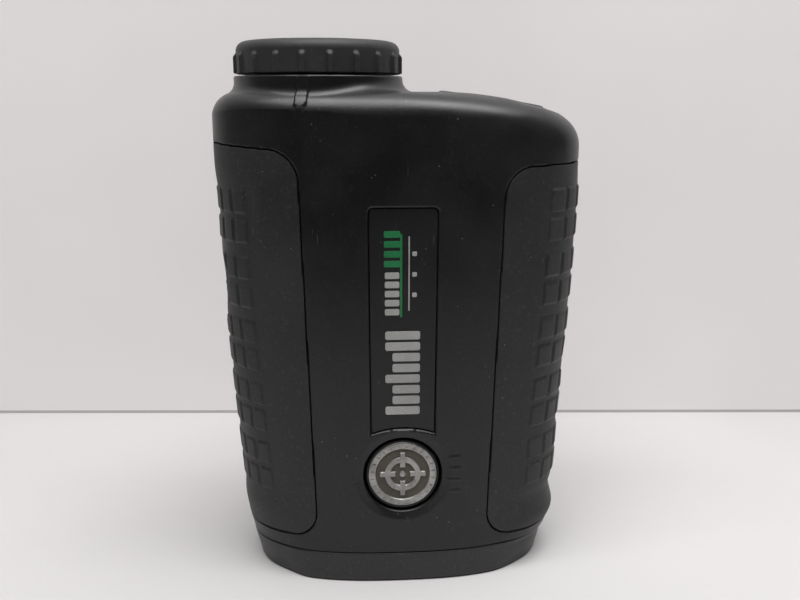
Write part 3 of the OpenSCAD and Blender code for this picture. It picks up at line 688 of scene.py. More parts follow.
def tile_height(side, run, points, kept):
    """Tiles round one side; kept is 0 where the rubber stays plain."""
    columns, pitch = TILE_COLUMNS[side]
    down = TILE_TOP - points[..., 2]
    within = np.mod(down, TILE_PAIR)
    first = np.abs(within - TILE_H / 2)
    second = np.abs(within - TILE_H * 1.5 - TILE_GAP)
    offset = pitch / 2 if columns % 2 else 0
    across = np.mod(run + offset, pitch) - pitch / 2
    beside = np.abs(across) - (pitch - 0.6) / 2
    above = np.minimum(first, second) - TILE_H / 2
    tile = smooth(0, 0.34, -beside) * smooth(0.1, 0.75, -above)
    field_reach = columns * pitch / 2
    shown = (down > 0) & (down < FIELD_H - 2) & (run < field_reach)
    zone = smooth(-5, 2, down) * smooth(FIELD_H + 5, FIELD_H - 2, down)
    zone = zone * smooth(field_reach + 4, field_reach, run)
    sink = TILE_SINK[side] + TILE_DIP[side] * hump(points[..., 2], DIP_Z, 8)
    return np.where(shown, TILE_RISE * tile * kept, 0) - sink * zone


# ---- Finishes ----

def eased(tree, value, low, high, start, end):
    """Smooth step of a socket's value from start to end, between low and high."""
    node = tree.nodes.new("ShaderNodeMapRange")
    node.interpolation_type = "SMOOTHSTEP"
    tree.links.new(value, node.inputs["Value"])
    for key, number in (("From Min", low), ("From Max", high), ("To Min", start), ("To Max", end)):
        node.inputs[key].default_value = number
    return node.outputs["Result"]


class Nodes:
    """A procedural material under construction; coordinates are in millimetres."""

    def __init__(self, name):
        self.material = bpy.data.materials.new(name)
        self.material.use_nodes = True
        self.tree = self.material.node_tree
        self.shader = self.tree.nodes["Principled BSDF"]
        coordinates = self.add("ShaderNodeTexCoord")
        self.place = self.scaled(coordinates.outputs["Object"], (1000, 1000, 1000))

    def add(self, kind, **settings):
        node = self.tree.nodes.new(kind)
        for key, value in settings.items():
            setattr(node, key, value)
        return node

    def join(self, source, target):
        if isinstance(source, bpy.types.NodeSocket):
            self.tree.links.new(source, target)
        else:
            target.default_value = source

    def scaled(self, vector, factors):
        node = self.add("ShaderNodeVectorMath", operation="MULTIPLY")
        self.join(vector, node.inputs[0])
        node.inputs[1].default_value = factors
        return node.outputs[0]

    def moved(self, vector, offset):
        node = self.add("ShaderNodeVectorMath", operation="ADD")
        self.join(vector, node.inputs[0])
        node.inputs[1].default_value = offset
        return node.outputs[0]

    def noise(self, per_mm, detail=3.0, rough=0.55, stretch=(1, 1, 1), shift=0.0):
        node = self.add("ShaderNodeTexNoise")
        place = self.moved(self.scaled(self.place, stretch), (shift, shift * 0.7, -shift))
        self.join(place, node.inputs["Vector"])
        node.inputs["Scale"].default_value = per_mm
        node.inputs["Detail"].default_value = detail
        node.inputs["Roughness"].default_value = rough
        return node.outputs["Fac"]

    def cells(self, per_mm, shift=0.0):
        node = self.add("ShaderNodeTexVoronoi")
        self.join(self.moved(self.place, (shift, shift, shift)), node.inputs["Vector"])
        node.inputs["Scale"].default_value = per_mm
        return node.outputs["Distance"]

    def band(self, value, low, high, start=0.0, end=1.0):
        return eased(self.tree, value, low, high, start, end)

    def product(self, *shares):
        total = shares[0]
        for share in shares[1:]:
            node = self.add("ShaderNodeMath", operation="MULTIPLY")
            self.join(total, node.inputs[0])
            self.join(share, node.inputs[1])
            total = node.outputs[0]
        return total

    def mix(self, share, a, b):
        node = self.add("ShaderNodeMix", data_type="RGBA")
        self.join(share, node.inputs["Factor"])
        self.join(a if isinstance(a, bpy.types.NodeSocket) else (*a, 1), node.inputs["A"])
        self.join(b if isinstance(b, bpy.types.NodeSocket) else (*b, 1), node.inputs["B"])
        return node.outputs["Result"]

    def bump(self, height, depth_mm, strength=1.0, below=None):
        node = self.add("ShaderNodeBump")
        node.inputs["Strength"].default_value = strength
        node.inputs["Distance"].default_value = depth_mm * MM
        self.join(height, node.inputs["Height"])
        if below is not None:
            self.join(below, node.inputs["Normal"])
        return node.outputs["Normal"]

    def finish(self, colour=None, rough=None, metal=0.0, specular=0.5, normal=None):
        for key, value in (("Base Color", colour), ("Roughness", rough), ("Normal", normal)):
            if value is None:
                continue
            if key == "Base Color" and not isinstance(value, bpy.types.NodeSocket):
                value = (*value, 1)
            self.join(value, self.shader.inputs[key])
        self.shader.inputs["Metallic"].default_value = metal
        self.shader.inputs["Specular IOR Level"].default_value = specular
        return self.material


def moulded(name, dark, light, rough=(0.42, 0.6), grain=1.7, depth=0.02, dust=0.35, specular=0.42,
            worn=True):
    """Fine-grained moulded plastic or rubber with dust, faint scuffs and a few scratches."""
    n = Nodes(name)
    cloud = n.noise(0.06, 4)
    fine = n.noise(grain, 3, 0.7)
    colour = n.mix(n.band(cloud, 0.3, 0.7), dark, light)
    pale = tuple(min(1, 3.2 * c + 0.012) for c in light)
    colour = n.mix(n.product(n.band(fine, 0.52, 0.75), dust), colour, pale)
    if worn:
        streak = n.band(n.noise(1.1, 2, 0.5, (3.0, 3.0, 0.22), 31), 0.69, 0.74)
        patch = n.band(n.noise(0.11, 2, 0.5, (1, 1, 1), 12), 0.56, 0.7)
        colour = n.mix(n.product(streak, patch, 0.5), colour, (0.2, 0.2, 0.2))
        speck = n.band(n.cells(0.55, 5), 0.075, 0.05)
        chosen = n.band(n.noise(0.35, 1, 0.5, (1, 1, 1), 77), 0.56, 0.6)
        colour = n.mix(n.product(speck, chosen, 0.5), colour, (0.3, 0.3, 0.29))
    roughness = n.band(cloud, 0.3, 0.7, rough[0], rough[1])
    normal = n.bump(fine, depth, 0.55)
    normal = n.bump(n.noise(0.35, 2), depth * 1.6, 0.3, normal)
    return n.finish(colour, roughness, 0.0, specular, normal)


def printed(name, dark, light, rough=(0.35, 0.5), grain=2.0, depth=0.01, dust=0.15):
    """Clean ink, lacquer or sleeve, without scratches."""
    return moulded(name, dark, light, rough, grain, depth, dust, 0.5, False)


def metal(name, dark, light, rough=(0.25, 0.42), stretch=(1, 1, 1), metallic=1.0, depth=0.006):
    """Metal with a brushed or clouded surface and a little tarnish."""
    n = Nodes(name)
    cloud = n.noise(0.4, 4)
    brushed = n.noise(2.6, 3, 0.6, stretch)
    colour = n.mix(n.band(cloud, 0.32, 0.7), dark, light)
    tarnish = n.band(n.noise(0.9, 3, 0.6, (1, 1, 1), 9), 0.58, 0.75)
    colour = n.mix(n.product(tarnish, 0.4), colour, tuple(c * 0.45 for c in dark))
    roughness = n.band(brushed, 0.3, 0.7, rough[0], rough[1])
    return n.finish(colour, roughness, metallic, 0.5, n.bump(brushed, depth))


def glassy(name, tint, coat_tint, rough=0.02, clear=0.85):
    """Lens glass with a coloured coating and a faint smear."""
    n = Nodes(name)
    film = n.noise(0.09, 2)
    smear = n.noise(0.5, 3)
    colour = n.mix(n.band(film, 0.35, 0.65), tint, coat_tint)
    n.shader.inputs["Transmission Weight"].default_value = clear
    n.shader.inputs["IOR"].default_value = 1.52
    n.shader.inputs["Coat Weight"].default_value = 0.6
    n.shader.inputs["Coat Roughness"].default_value = 0.03
    n.shader.inputs["Coat Tint"].default_value = (*coat_tint, 1)
    return n.finish(colour, n.band(smear, 0.4, 0.8, rough, rough + 0.06), 0.0, 0.6)


SHELL = moulded("Moulded_Charcoal", (0.0062, 0.0063, 0.0066), (0.009, 0.0092, 0.0096), (0.3, 0.42))
# Lighter copy of the charcoal shell for the bezel at the foot: painted light from the floor's bounce, not a
# different plastic.
SHELL_PAINTED_BOUNCE = moulded("Moulded_Charcoal_Painted_Floor_Bounce", (0.018, 0.0181, 0.0188), (0.024, 0.0242, 0.025), (0.32, 0.45))
GRIP = moulded("Grip_Rubber", (0.014, 0.0141, 0.0145), (0.021, 0.0212, 0.0216),
               (0.45, 0.6), 1.3, 0.03, 0.3, 0.4)
SOFT = moulded("Soft_Black_Rubber", (0.006, 0.006, 0.0063), (0.01, 0.01, 0.0104),
               (0.5, 0.7), 1.3, 0.03, 0.2, 0.35, False)
EYECUP = moulded("Eyecup_Rubber", (0.02, 0.0202, 0.021), (0.028, 0.0283, 0.0292),
                 (0.48, 0.62), 1.5, 0.02, 0.22, 0.35)
LABEL = moulded("Badge_Plate_Film", (0.0048, 0.0048, 0.005), (0.0068, 0.0068, 0.007),
                (0.34, 0.46), 2.2, 0.012, 0.25, 0.45)
REAR = moulded("Rear_Label_Film", (0.03, 0.031, 0.033), (0.042, 0.043, 0.045),
               (0.3, 0.42), 2.2, 0.008, 0.2, 0.5)
SILVER = metal("Badge_Silver", (0.25, 0.246, 0.236), (0.41, 0.405, 0.392),
               (0.34, 0.52), (1, 1, 1), 0.85, 0.012)
FIELD = moulded("Badge_Field", (0.062, 0.054, 0.042), (0.1, 0.088, 0.07), (0.5, 0.65), 2.0, 0.02, 0.3, 0.4)
PRINT = printed("Silver_Print", (0.30, 0.30, 0.29), (0.40, 0.40, 0.39))
GREEN = printed("Green_Print", (0.008, 0.14, 0.045), (0.012, 0.2, 0.065))
STEEL = metal("Bright_Steel", (0.42, 0.42, 0.43), (0.6, 0.6, 0.61), (0.2, 0.36), (1, 1, 6))
BRASS = metal("Turned_Brass", (0.5, 0.34, 0.12), (0.7, 0.5, 0.2), (0.22, 0.4), (6, 1, 1))
ANODISED = metal("Black_Anodised", (0.01, 0.01, 0.011), (0.018, 0.018, 0.02), (0.4, 0.58), (1, 1, 1), 0.35)
GLASS = glassy("Coated_Lens_Glass", (0.3, 0.34, 0.36), (0.3, 0.55, 0.5), 0.02, 0.5)
RED_GLASS = glassy("Red_Coated_Lens_Glass", (0.3, 0.04, 0.035), (0.6, 0.12, 0.08), 0.02, 0.4)
BOARD = printed("Circuit_Board", (0.01, 0.07, 0.03), (0.015, 0.1, 0.04), (0.35, 0.5), 2.5, 0.02, 0.3)
FLEX = printed("Flex_And_Leads", (0.25, 0.12, 0.03), (0.33, 0.17, 0.05), (0.3, 0.45), 2.0, 0.01, 0.1)
WRAP = printed("Cell_Sleeve", (0.45, 0.43, 0.36), (0.55, 0.52, 0.45), (0.3, 0.45), 1.5, 0.01, 0.1)

FINISH_OF_SLOT = {
    "housing": SHELL, "grip": GRIP, "soft": SOFT, "badge": SILVER, "steel": STEEL, "brass": BRASS,
    "black_metal": ANODISED, "glass": GLASS, "coated_glass": RED_GLASS, "circuit_board": BOARD, "flex": FLEX,
    "cell_wrap": WRAP, "label": REAR,
}
for part in frame["record"]["subparts"]:
    node_object = bpy.data.objects.get(part["node"]) or frame["nodes"][part["node"]]
    for material_slot in node_object.material_slots:
        material_slot.material = FINISH_OF_SLOT[part["material_slot"]]

# ---- Pieces of the body ----

make_piece("housing_shell", housing_mesh(), "housing", SHELL, ("left_housing", "right_housing"))

for side, node, axis_z, opening in ((-1, "top_grip", POWER_Z, 8.0), (1, "bottom_grip", TRIPOD_Z, 6.9)):
    rubber = grip_mesh(side, axis_z, opening)
    opening_at = (side * side_at(axis_z), 0, axis_z)
    rubber = hole(rubber, opening_at, (side, 0, 0), opening, lip(0.5, 1.2), reach=4)
    make_piece("rubber_" + node, rubber, "housing", GRIP, (node,))


RIM_COLUMNS = 480
RIM_FOOT = 0.9              # radius of the bezel's lower edge
RIM_HEAD = 0.3              # radius of its upper edge
LENS_WELL_R = 13.3


def rounded_ring(angle, centre_z, radius, turn):
    """Outline of the bezel's band at one angle of a rounded edge."""
    outline = skin(angle, np.full(len(angle), centre_z + radius * math.sin(turn)))
    reach = np.linalg.norm(outline[:, :2], axis=1, keepdims=True)
    outline[:, :2] *= 1 - radius * (1 - math.cos(turn)) / reach
    return outline


def bezel_mesh():
    """Outer band and underside of the bezel, with its two lens wells."""
    angle = even_angles(RIM_COLUMNS, 5.0)
    centre = np.array([mid_x(0.0), 0, 0])
    from_centre = skin(angle, np.zeros(RIM_COLUMNS)) - centre
    sole = from_centre * (1 - RIM_FOOT / np.linalg.norm(from_centre, axis=1, keepdims=True))
    rings = [centre + sole * share for share in np.linspace(0.02, 1, 60)]
    rings += [rounded_ring(angle, RIM_FOOT, RIM_FOOT, turn) for turn in np.radians((-70, -50, -30, -12, 0))]
    rings += [skin(angle, np.full(RIM_COLUMNS, z)) for z in np.linspace(1.2, BEZEL_TOP - 0.35, 14)]
    rings += [rounded_ring(angle, BEZEL_TOP - RIM_HEAD, RIM_HEAD, turn) for turn in np.radians((30, 60, 90))]
    rings.append(rings[-1] * [0.9, 0.9, 1])
    grid = np.stack(rings)
    mesh = grid.reshape(-1, 3), ring_quads(len(grid), RIM_COLUMNS)
    well = [(0.3, 0.1, 1), (1.0, 1.0, 1), (1.0, 2.25, 1), (1.9, 2.3, 1), (1.9, 3.1, 1)]
    for x in LENS_X:
        mesh = hole(mesh, (x, 0, 0), (0, 0, -1), LENS_WELL_R, well, reach=1.5, cell=0.45)
    return mesh


# The bezel wears the lighter charcoal copy, which is painted floor-bounce light.
make_piece("objective_bezel", bezel_mesh(), "housing", SHELL_PAINTED_BOUNCE, ("front_bezel",))

gasket_rings = [skin(even_angles(RIM_COLUMNS, 6.0), np.full(RIM_COLUMNS, z)) * [0.975, 0.965, 1]
                for z in (BEZEL_TOP - 0.05, BEZEL_TOP + 0.15, SHELL_FOOT + 0.05)]
gasket_mesh = np.concatenate(gasket_rings), ring_quads(len(gasket_rings), RIM_COLUMNS)
make_piece("bezel_seal", gasket_mesh, "housing", SOFT, ("bezel_gasket",))

# ---- Eyepiece ----

RIBS = 20
RIB_RISE = 0.58
RIB_HALF = 0.56
CUP_R = EYE[0] - box("eyecup")[0][0] - 0.7
LIP_R = 1.9
RIB_TOP = EYECUP_TOP - 2.2
CUP_WALL_R = 12.95          # bore of the cup's mouth


def rib_relief(angle, z, r):
    """Upright ribs with round tops round the eyecup's wall."""
    pitch = 2 * math.pi / RIBS
    across = (np.mod(angle + math.pi / 2, pitch) - pitch / 2) * CUP_R
    past_foot = 1
    middle = (EYECUP_LOW + RIB_TOP) / 2 - past_foot
    d = box_distance(across, z - middle, RIB_HALF, (RIB_TOP - EYECUP_LOW) / 2 + past_foot, 0.6)
    wall = (r > CUP_R - LIP_R) & (z < EYECUP_TOP - 0.5)
    fade = smooth(EYECUP_LOW, EYECUP_LOW + 0.15, z) * smooth(RIB_TOP + 0.2, RIB_TOP - 0.9, z)
    return np.where(wall, RIB_RISE * smooth(0.28, -0.28, d) * fade, 0)


cup_profile = [(15.7, EYECUP_LOW + 0.02), (CUP_R - 0.2, EYECUP_LOW), (CUP_R, EYECUP_LOW + 0.2)]
cup_profile += [(CUP_R, z) for z in np.linspace(EYECUP_LOW + 0.4, EYECUP_TOP - LIP_R - 0.2, 24)]
cup_profile += arc(CUP_R - LIP_R, EYECUP_TOP - LIP_R, LIP_R, 0, 90, 14)
cup_profile += [(13.9, EYECUP_TOP - 0.02)] + arc(13.6, EYECUP_TOP - 0.7, 0.7, 100, 180, 6)
cup_profile += [(CUP_WALL_R, EYECUP_TOP - 1.0), (CUP_WALL_R, EYECUP_TOP - 1.5), (15.6, EYECUP_TOP - 1.52)]
make_piece("ribbed_eyecup", turned(cup_profile, 1440, EYE[:2], rib_relief), "diopter_ring", EYECUP,
           ("eyecup",), sharp=35)

# ---- Battery cap ----

CAP_R = 11.0
CAP_TOP = 0.78
CAP_FOOT = -2.3
CAP_NOTCHES = 36
PLUG_R = 9.67
PLUG_FOOT = -7.8
TAB_HALF = 5.3
TAB_FLAT = 6.2              # length of the tab's straight sides
TAB_REACH = 8.15
TAB_CORNER = 40.5           # half the angle of the tab's round end
cap_rings = [(0.05, CAP_FOOT), (CAP_R - 0.3, CAP_FOOT), (CAP_R, CAP_FOOT + 0.3), (CAP_R, -0.6)]
cap_rings += arc(CAP_R - 0.7, CAP_TOP - 0.7, 0.7, 0, 80, 6)
cap_rings += [(r, CAP_TOP + 0.02 * (1 - r / CAP_R)) for r in np.linspace(CAP_R - 1.0, 0.05, 50)]
cap_mesh = turned(cap_rings, 480)


def notched(mesh_data):
    """Finger grooves round the cap and the tab's recess across its top."""
    points, quads = mesh_data
    points = points.copy()
    r = np.hypot(points[:, 0], points[:, 1])
    angle = np.arctan2(points[:, 1], points[:, 0])
    top = (points[:, 2] > CAP_TOP - 0.5) & (r < CAP_R - 0.8)
    d = box_distance(points[:, 0] - 3.6, points[:, 1], 4.9, 5.7, 1.0)
    d = np.maximum(d, r - 8.5)
    points[:, 2] -= np.where(top, 1.5 * smooth(0.12, -0.12, d), 0)
    rim = (r > CAP_R - 0.25) & (points[:, 2] < 0.4)
    groove = smooth(0.55, 0.95, np.cos(angle * CAP_NOTCHES))
    points[:, :2] *= np.where(rim, 1 - 0.018 * groove, 1)[:, None]
    return points, quads


cap_body = aligned(notched(cap_mesh), CAP_CENTRE, CAP_AXIS, (1, 0, 0))
plug_wall = turned([(PLUG_R - 0.07, PLUG_FOOT), (PLUG_R, PLUG_FOOT + 0.1), (PLUG_R, -2.2)], 240)
contact_face = turned([(0.05, PLUG_FOOT), (PLUG_R - 0.07, PLUG_FOOT)], 240)
plug = [aligned(mesh_data, CAP_CENTRE, CAP_AXIS) for mesh_data in (plug_wall, contact_face)]
make_piece("battery_door", joined(cap_body, *plug), "battery_cap", SHELL, ("battery_cap",))

half_moon = [(-0.1, -TAB_HALF), (TAB_FLAT, -TAB_HALF)] + arc(0, 0, TAB_REACH, -TAB_CORNER, TAB_CORNER, 16)
half_moon += [(TAB_FLAT, TAB_HALF), (-0.1, TAB_HALF)]
tab_slab = plate(half_moon, -0.8, 0.3, 0.25)
roll_half = [(0.85, TAB_HALF - 0.15), (0.7, TAB_HALF), (0.05, TAB_HALF)]
roll = [(r, -z) for r, z in reversed(roll_half)] + roll_half
roll_points, roll_quads = turned(roll, 48)
knuckle = (roll_points[:, [0, 2, 1]] * [1, 1, -1] + [0, 0, -0.3], roll_quads)
finger_bar = plate(rounded_rectangle(0.5, 5.0, 0.24), 0.25, 0.45, 0.1)
finger_bars = [shifted(finger_bar, x, 0) for x in (4.2, 5.4, 6.6)]
tab_mesh = aligned(joined(tab_slab, knuckle, *finger_bars), CAP_CENTRE, CAP_AXIS, (1, 0, 0))
make_piece("battery_door_tab", tab_mesh, "battery_cap_tab", SHELL, ("battery_cap_tab",))

# ---- Buttons ----

FIELD_R = 5.45              # sunk field of the silver disc
FIELD_SINK = 0.3
RETICLE_R = 3.1
BAR_HALF = 0.55
BAR_REACH = 4.7
TICK_R = 6.25
badge_axis = (0, -1, 0)
badge_place = (0, DIAL_Y, DIAL_Z)


def badge_mesh():
    """Silver disc with a sunk field and a raised reticle, drawn about +Z."""
    radius = (MODE_DISC[1][0] - MODE_DISC[0][0]) / 2
    rings = [(0.03, 0)] + [(r, 0) for r in np.linspace(0.12, radius - 0.35, 90)]
    rings += arc(radius - 0.3, -0.3, 0.3, 90, 0, 5) + [(radius, -0.6)]
    points, quads = turned(rings[::-1], 360)
    x, y = points[:, 0], points[:, 1]
    r = np.hypot(x, y)
    field = smooth(0.1, -0.1, r - FIELD_R)
    circle = np.abs(r - RETICLE_R) - 0.6
    level_bar = box_distance(x, y, BAR_REACH, BAR_HALF, 0.2)
    upright_bar = box_distance(x, y, BAR_HALF, BAR_REACH, 0.2)
    bars = np.maximum(np.minimum(level_bar, upright_bar), 1.5 - r)
    symbol = np.minimum(np.minimum(circle, bars), r - 0.62)
    ticks = np.abs(np.mod(np.arctan2(y, x), math.pi / 12) - math.pi / 24) * r - 0.12
    groove = np.maximum(ticks, np.abs(r - TICK_R) - 0.32)
    points[:, 2] -= FIELD_SINK * field * smooth(-0.1, 0.1, symbol) + 0.1 * smooth(0.08, -0.08, groove)
    return points, quads


def in_field(centre):
    """True for the faces of the disc that lie in its sunk field."""
    sunk = centre[:, 1] > DIAL_Y + 0.16
    return sunk & (np.hypot(centre[:, 0], centre[:, 2] - DIAL_Z) < FIELD_R + 0.05)


make_piece("mode_badge", aligned(badge_mesh(), badge_place, badge_axis, (1, 0, 0)), "mode_button",
           [SILVER, FIELD], ("mode_button_disc",), sharp=40, paint=in_field)

button_rim = [(6.95, -0.7), (6.98, -0.15)] + arc(7.2, -0.2, 0.2, 180, 0, 6) + [(7.42, -0.6), (7.42, -3.2)]
collar = aligned(turned(button_rim[::-1], 240), badge_place, badge_axis)
make_piece("mode_button_collar", collar, "mode_button", SOFT, ("mode_button",))

DOME_R = 6.9
DOME_RISE = 0.75
DIMPLE_STEP = 1.5
dome = [(r, DOME_RISE * (1 - (r / DOME_R) ** 2) - DOME_RISE) for r in np.linspace(0.05, 6.0, 40)]
dome += [(r, z - DOME_RISE) for r, z in arc(6.5, -0.2, 0.4, 75, 0, 6)] + [(DOME_R, -4.0)]


def dimpled(mesh_data):
    """Concentric rows of small raised dots on the power button."""
    points, quads = mesh_data
    points = points.copy()
    x, y = points[:, 0], points[:, 1]
    from_dot_x = np.mod(x, DIMPLE_STEP) - DIMPLE_STEP / 2
    from_dot_y = np.mod(y, DIMPLE_STEP) - DIMPLE_STEP / 2
    d = np.hypot(from_dot_x, from_dot_y) - 0.42
    points[:, 2] += np.where(np.hypot(x, y) < 4.6, 0.14 * smooth(0.14, -0.14, d), 0)
    return points, quads


power_cap = aligned(dimpled(turned(dome[::-1], 360)), (POWER[0][0] + 0.05, 0, POWER_Z), (-1, 0, 0))
make_piece("power_button_cap", power_cap, "power_button", SOFT, ("power_button",))

# ---- Badge plate ----


def face_frame(z, sink):
    """Origin and axes for flat trim on the front face, sunk below it."""
    normal = np.array([0, -math.cos(LEAN), -math.sin(LEAN)])
    return np.array([0, -half_d(z) + sink, z]), normal


def on_front(mesh_data, x, z, sink):
    """Lays flat trim drawn about +Z on the front face, with its Y axis pointing up the face."""
    points, quads = mesh_data
    centre, normal = face_frame(z, sink)
    up = np.array([0, normal[2], -normal[1]])
    across = np.array([1.0, 0, 0])
    turn = np.stack([across, up, normal])
    return points @ turn + centre + [x, 0, 0], quads


PLATE_SINK = 0.32
PLATE_CORNER = 0.95
plate_z = (LABEL_TOP + LABEL_BASE) / 2
corner_x = LABEL_W / 2 - PLATE_CORNER
corner_z = (LABEL_TOP - LABEL_BASE) / 2 - 1.1
notch_r = NOTCH_R + 0.35
half_angle = math.degrees(math.asin((LABEL_W / 2 - 0.34) / notch_r))
plate_outline = arc(0, NOTCH_Z - plate_z, notch_r, 90 + half_angle, 90 - half_angle, 14)
plate_outline += [(LABEL_W / 2 + 0.02, corner_z)]
plate_outline += arc(corner_x, corner_z, PLATE_CORNER, 0, 90, 5)
plate_outline += arc(-corner_x, corner_z, PLATE_CORNER, 90, 180, 5)
make_piece("badge_plate", on_front(plate(plate_outline, -0.5, 0, 0.15), 0, plate_z, PLATE_SINK),
           "housing", LABEL, ("label_plate",))


def stripe(width, height, x, z):
    slab = plate(rounded_rectangle(width, height, min(width, height) * 0.22, 3), -0.05, 0.05, 0.03)
    return on_front(slab, x, z, PLATE_SINK - 0.01)


def ladder(widths, right, low, high, share):
    """A column of bars of varied width between two heights, lined up on their right ends."""
    pitch = (high - low) / len(widths)
    return [stripe(w, pitch * share, right - w / 2, low + pitch * (i + 0.5)) for i, w in enumerate(widths)]


wide = ladder((6.8, 5.4, 5.4, 6.8, 5.4, 5.4, 6.8, 6.8), 3.3, 36.8, 54.5, 0.76)
small = ladder((2.8, 2.8, 2.8, 2.8, 2.8), -0.75, 57.2, 66.2, 0.7)
make_piece("badge_silver_bars", joined(*wide, *small), "housing", PRINT)
green = ladder((3.1, 3.1, 3.1, 3.1), -0.6, 66.6, 74.2, 0.66)
green.append(stripe(0.42, 16.2, -0.42, 65.2))
make_piece("badge_green_bars", joined(*green), "housing", GREEN)
thin = ladder((0.9, 0.9, 0.9), 2.6, 59.5, 71.5, 0.22)
thin.append(stripe(0.26, 14.5, 1.1, 65.6))
make_piece("badge_thin_bars", joined(*thin), "housing", PRINT)

# Height above the label's middle and width of each bar of the back label
REAR_PRINT = ((9.5, 15), (6.8, 15), (4.1, 11), (-3, 15), (-5.7, 15), (-8.4, 8))
rear_width, _, rear_height = REAR_HIGH - REAR_LOW
rear_z = (REAR_LOW[2] + REAR_HIGH[2]) / 2
rear_place = np.array([0, half_d(rear_z) - 0.12, rear_z])
rear_axis = (0, math.cos(LEAN), -math.sin(LEAN))


def on_back(mesh_data):
    """Lays flat trim drawn about +Z on the back face."""
    return aligned(mesh_data, rear_place, rear_axis, (-1, 0, 0))


rear_slab = plate(rounded_rectangle(rear_width, rear_height, 1.0), -0.2, 0, 0.08)
make_piece("rear_rating_label", on_back(rear_slab), "housing", REAR, ("rear_label",))
rear_bars = [shifted(plate(rounded_rectangle(width, 1.1, 0.3, 3), -0.02, 0.04, 0.02), 0, y)
             for y, width in REAR_PRINT]
make_piece("rear_label_bars", on_back(joined(*rear_bars)), "housing", PRINT)

# ---- Floor, light and camera ----

WALL_BACK = 78.6            # distance of the backdrop behind the object's axis
FLOOR_FRONT = -205
STAGE_HALF = 700
STAGE_TOP = 700
JOIN_HEIGHT = 0.9           # painted shadow line along the foot of the backdrop
JOIN_GAP = 0.4
WALL_TONE = (0.9, 0.87, 0.87)
FLOOR_TONE = (0.55, 0.538, 0.536)
# Tone of the painted shadow strip at the foot of the backdrop.
JOIN_SHADOW_TONE = (0.5, 0.49, 0.49)
BACKDROP = (0.65, 0.63, 0.63)
ROOM_LOW = 0.2              # strength of the room's light from below
ROOM_HIGH = 0.75
ROOM_SIDES = 0.6            # what the sides add
CAMERA_AZIMUTH = math.radians(-3.5)
CAMERA_TURN = math.radians(-0.2)
CAMERA_PITCH = math.radians(13.5)
CAMERA_REACH = 0.178
CAMERA_HEIGHT = 0.0986
CAMERA_LENS = 38.25
SENSOR_WIDTH = 36


def stage_corner(across, back, up):
    """Point of the stage, which stands square to the camera."""
    return Matrix.Rotation(CAMERA_AZIMUTH, 3, "Z") @ Vector((across, back, up))


def stage_sheet(name, corners, tone, seen_from_behind):
    """Flat pale sheet of the stage; an upright one can't be seen from behind."""
    mesh = bpy.data.meshes.new(name)
    mesh.from_pydata([tuple(c * MM for c in stage_corner(*corner)) for corner in corners], [], [(0, 1, 2, 3)])
    sheet = bpy.data.objects.new(name, mesh)
    bpy.context.collection.objects.link(sheet)
    n = Nodes(name + "_Finish")
    darker = tuple(0.97 * c for c in tone)
    colour = n.mix(n.band(n.noise(0.012, 2), 0.3, 0.7), darker, tone)
    n.finish(colour, n.band(n.noise(0.3, 2), 0.3, 0.7, 0.6, 0.7), 0, 0.2)
    if not seen_from_behind:
        side = n.add("ShaderNodeNewGeometry")
        clear = n.add("ShaderNodeBsdfTransparent")
        choice = n.add("ShaderNodeMixShader")
        n.join(side.outputs["Backfacing"], choice.inputs[0])
        n.join(n.shader.outputs[0], choice.inputs[1])
        n.join(clear.outputs[0], choice.inputs[2])
        n.join(choice.outputs[0], n.tree.nodes["Material Output"].inputs["Surface"])
    mesh.materials.append(n.material)


def floor_sheet():
    corners = ((-STAGE_HALF, FLOOR_FRONT, 0), (STAGE_HALF, FLOOR_FRONT, 0),
               (STAGE_HALF, STAGE_HALF, 0), (-STAGE_HALF, STAGE_HALF, 0))
    stage_sheet("Floor", corners, FLOOR_TONE, True)


def upright_sheet(name, back, height, tone):
    corners = ((-STAGE_HALF, back, 0), (STAGE_HALF, back, 0),
               (STAGE_HALF, back, height), (-STAGE_HALF, back, height))
    stage_sheet(name, corners, tone, False)


def soft_light(name, place, target, size, power):
    data = bpy.data.lights.new(name, "AREA")
    data.shape = "RECTANGLE"
    data.size, data.size_y = size
    data.energy = power
    light = bpy.data.objects.new(name, data)
    light.location = Vector(place)
    light.rotation_euler = (Vector(target) - Vector(place)).to_track_quat("-Z", "Y").to_euler()
    bpy.context.collection.objects.link(light)


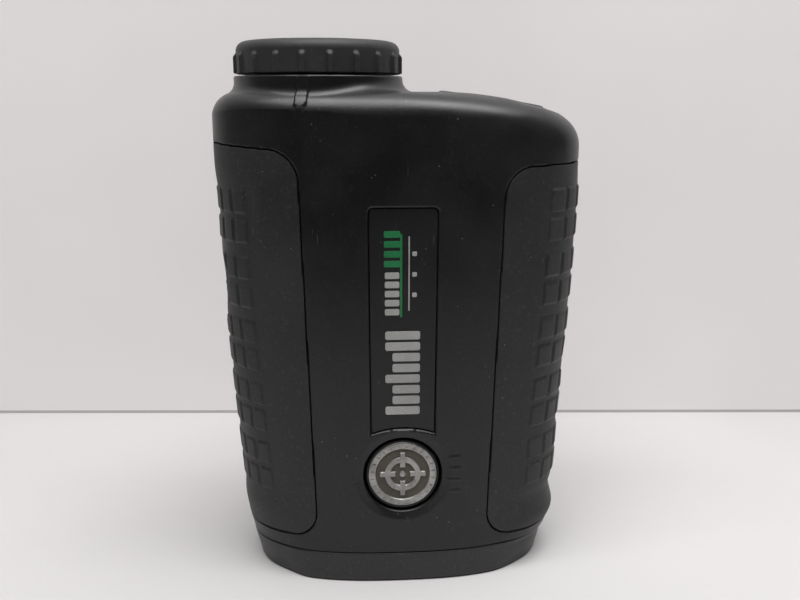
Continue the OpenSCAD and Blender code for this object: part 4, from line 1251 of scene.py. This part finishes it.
def soft_room():
    """Room light that grows towards the ceiling and the sides, behind a plain pale backdrop."""
    world = bpy.data.worlds.new("Soft_Room")
    world.use_nodes = True
    tree = world.node_tree
    nodes, link = tree.nodes, tree.links.new
    direction = nodes.new("ShaderNodeTexCoord")
    parts = nodes.new("ShaderNodeSeparateXYZ")
    link(direction.outputs["Generated"], parts.inputs[0])
    sideways = nodes.new("ShaderNodeMath")
    sideways.operation = "ABSOLUTE"
    link(parts.outputs["X"], sideways.inputs[0])
    total = nodes.new("ShaderNodeMath")
    link(eased(tree, parts.outputs["Z"], -0.1, 0.7, ROOM_LOW, ROOM_HIGH), total.inputs[0])
    link(eased(tree, sideways.outputs[0], 0.3, 0.95, 0.0, ROOM_SIDES), total.inputs[1])
    room = nodes["Background"]
    link(total.outputs[0], room.inputs["Strength"])
    seen = nodes.new("ShaderNodeBackground")
    seen.inputs["Color"].default_value = (*BACKDROP, 1)
    rays = nodes.new("ShaderNodeLightPath")
    choice = nodes.new("ShaderNodeMixShader")
    link(rays.outputs["Is Camera Ray"], choice.inputs[0])
    link(room.outputs[0], choice.inputs[1])
    link(seen.outputs[0], choice.inputs[2])
    link(choice.outputs[0], nodes["World Output"].inputs["Surface"])
    bpy.context.scene.world = world


def set_camera():
    data = bpy.data.cameras.new("Camera")
    data.lens = CAMERA_LENS
    data.sensor_width = SENSOR_WIDTH
    data.clip_start = 0.01
    camera = bpy.data.objects.new("Camera", data)
    camera.location = (CAMERA_REACH * math.sin(CAMERA_AZIMUTH), -CAMERA_REACH * math.cos(CAMERA_AZIMUTH),
                       CAMERA_HEIGHT)
    camera.rotation_euler = (math.pi / 2 - CAMERA_PITCH, 0, CAMERA_AZIMUTH + CAMERA_TURN)
    bpy.context.collection.objects.link(camera)
    bpy.context.scene.camera = camera


floor_sheet()
upright_sheet("Backdrop", WALL_BACK, STAGE_TOP, WALL_TONE)
# Thin darker sheet in front of the backdrop's foot: a painted shadow line where the floor and the backdrop
# meet.
upright_sheet("Backdrop_Painted_Join_Shadow", WALL_BACK - JOIN_GAP, JOIN_HEIGHT, JOIN_SHADOW_TONE)
soft_light("Overhead", (0.03, -0.17, 0.62), (0, -0.08, 0), (0.7, 0.36), 5.2)
soft_light("Backdrop_Wash", (0, -0.12, 0.75), (0, 0.08, 0.1), (1.0, 0.1), 1.6)
soft_room()
bpy.context.scene.view_settings.view_transform = "Standard"
set_camera()
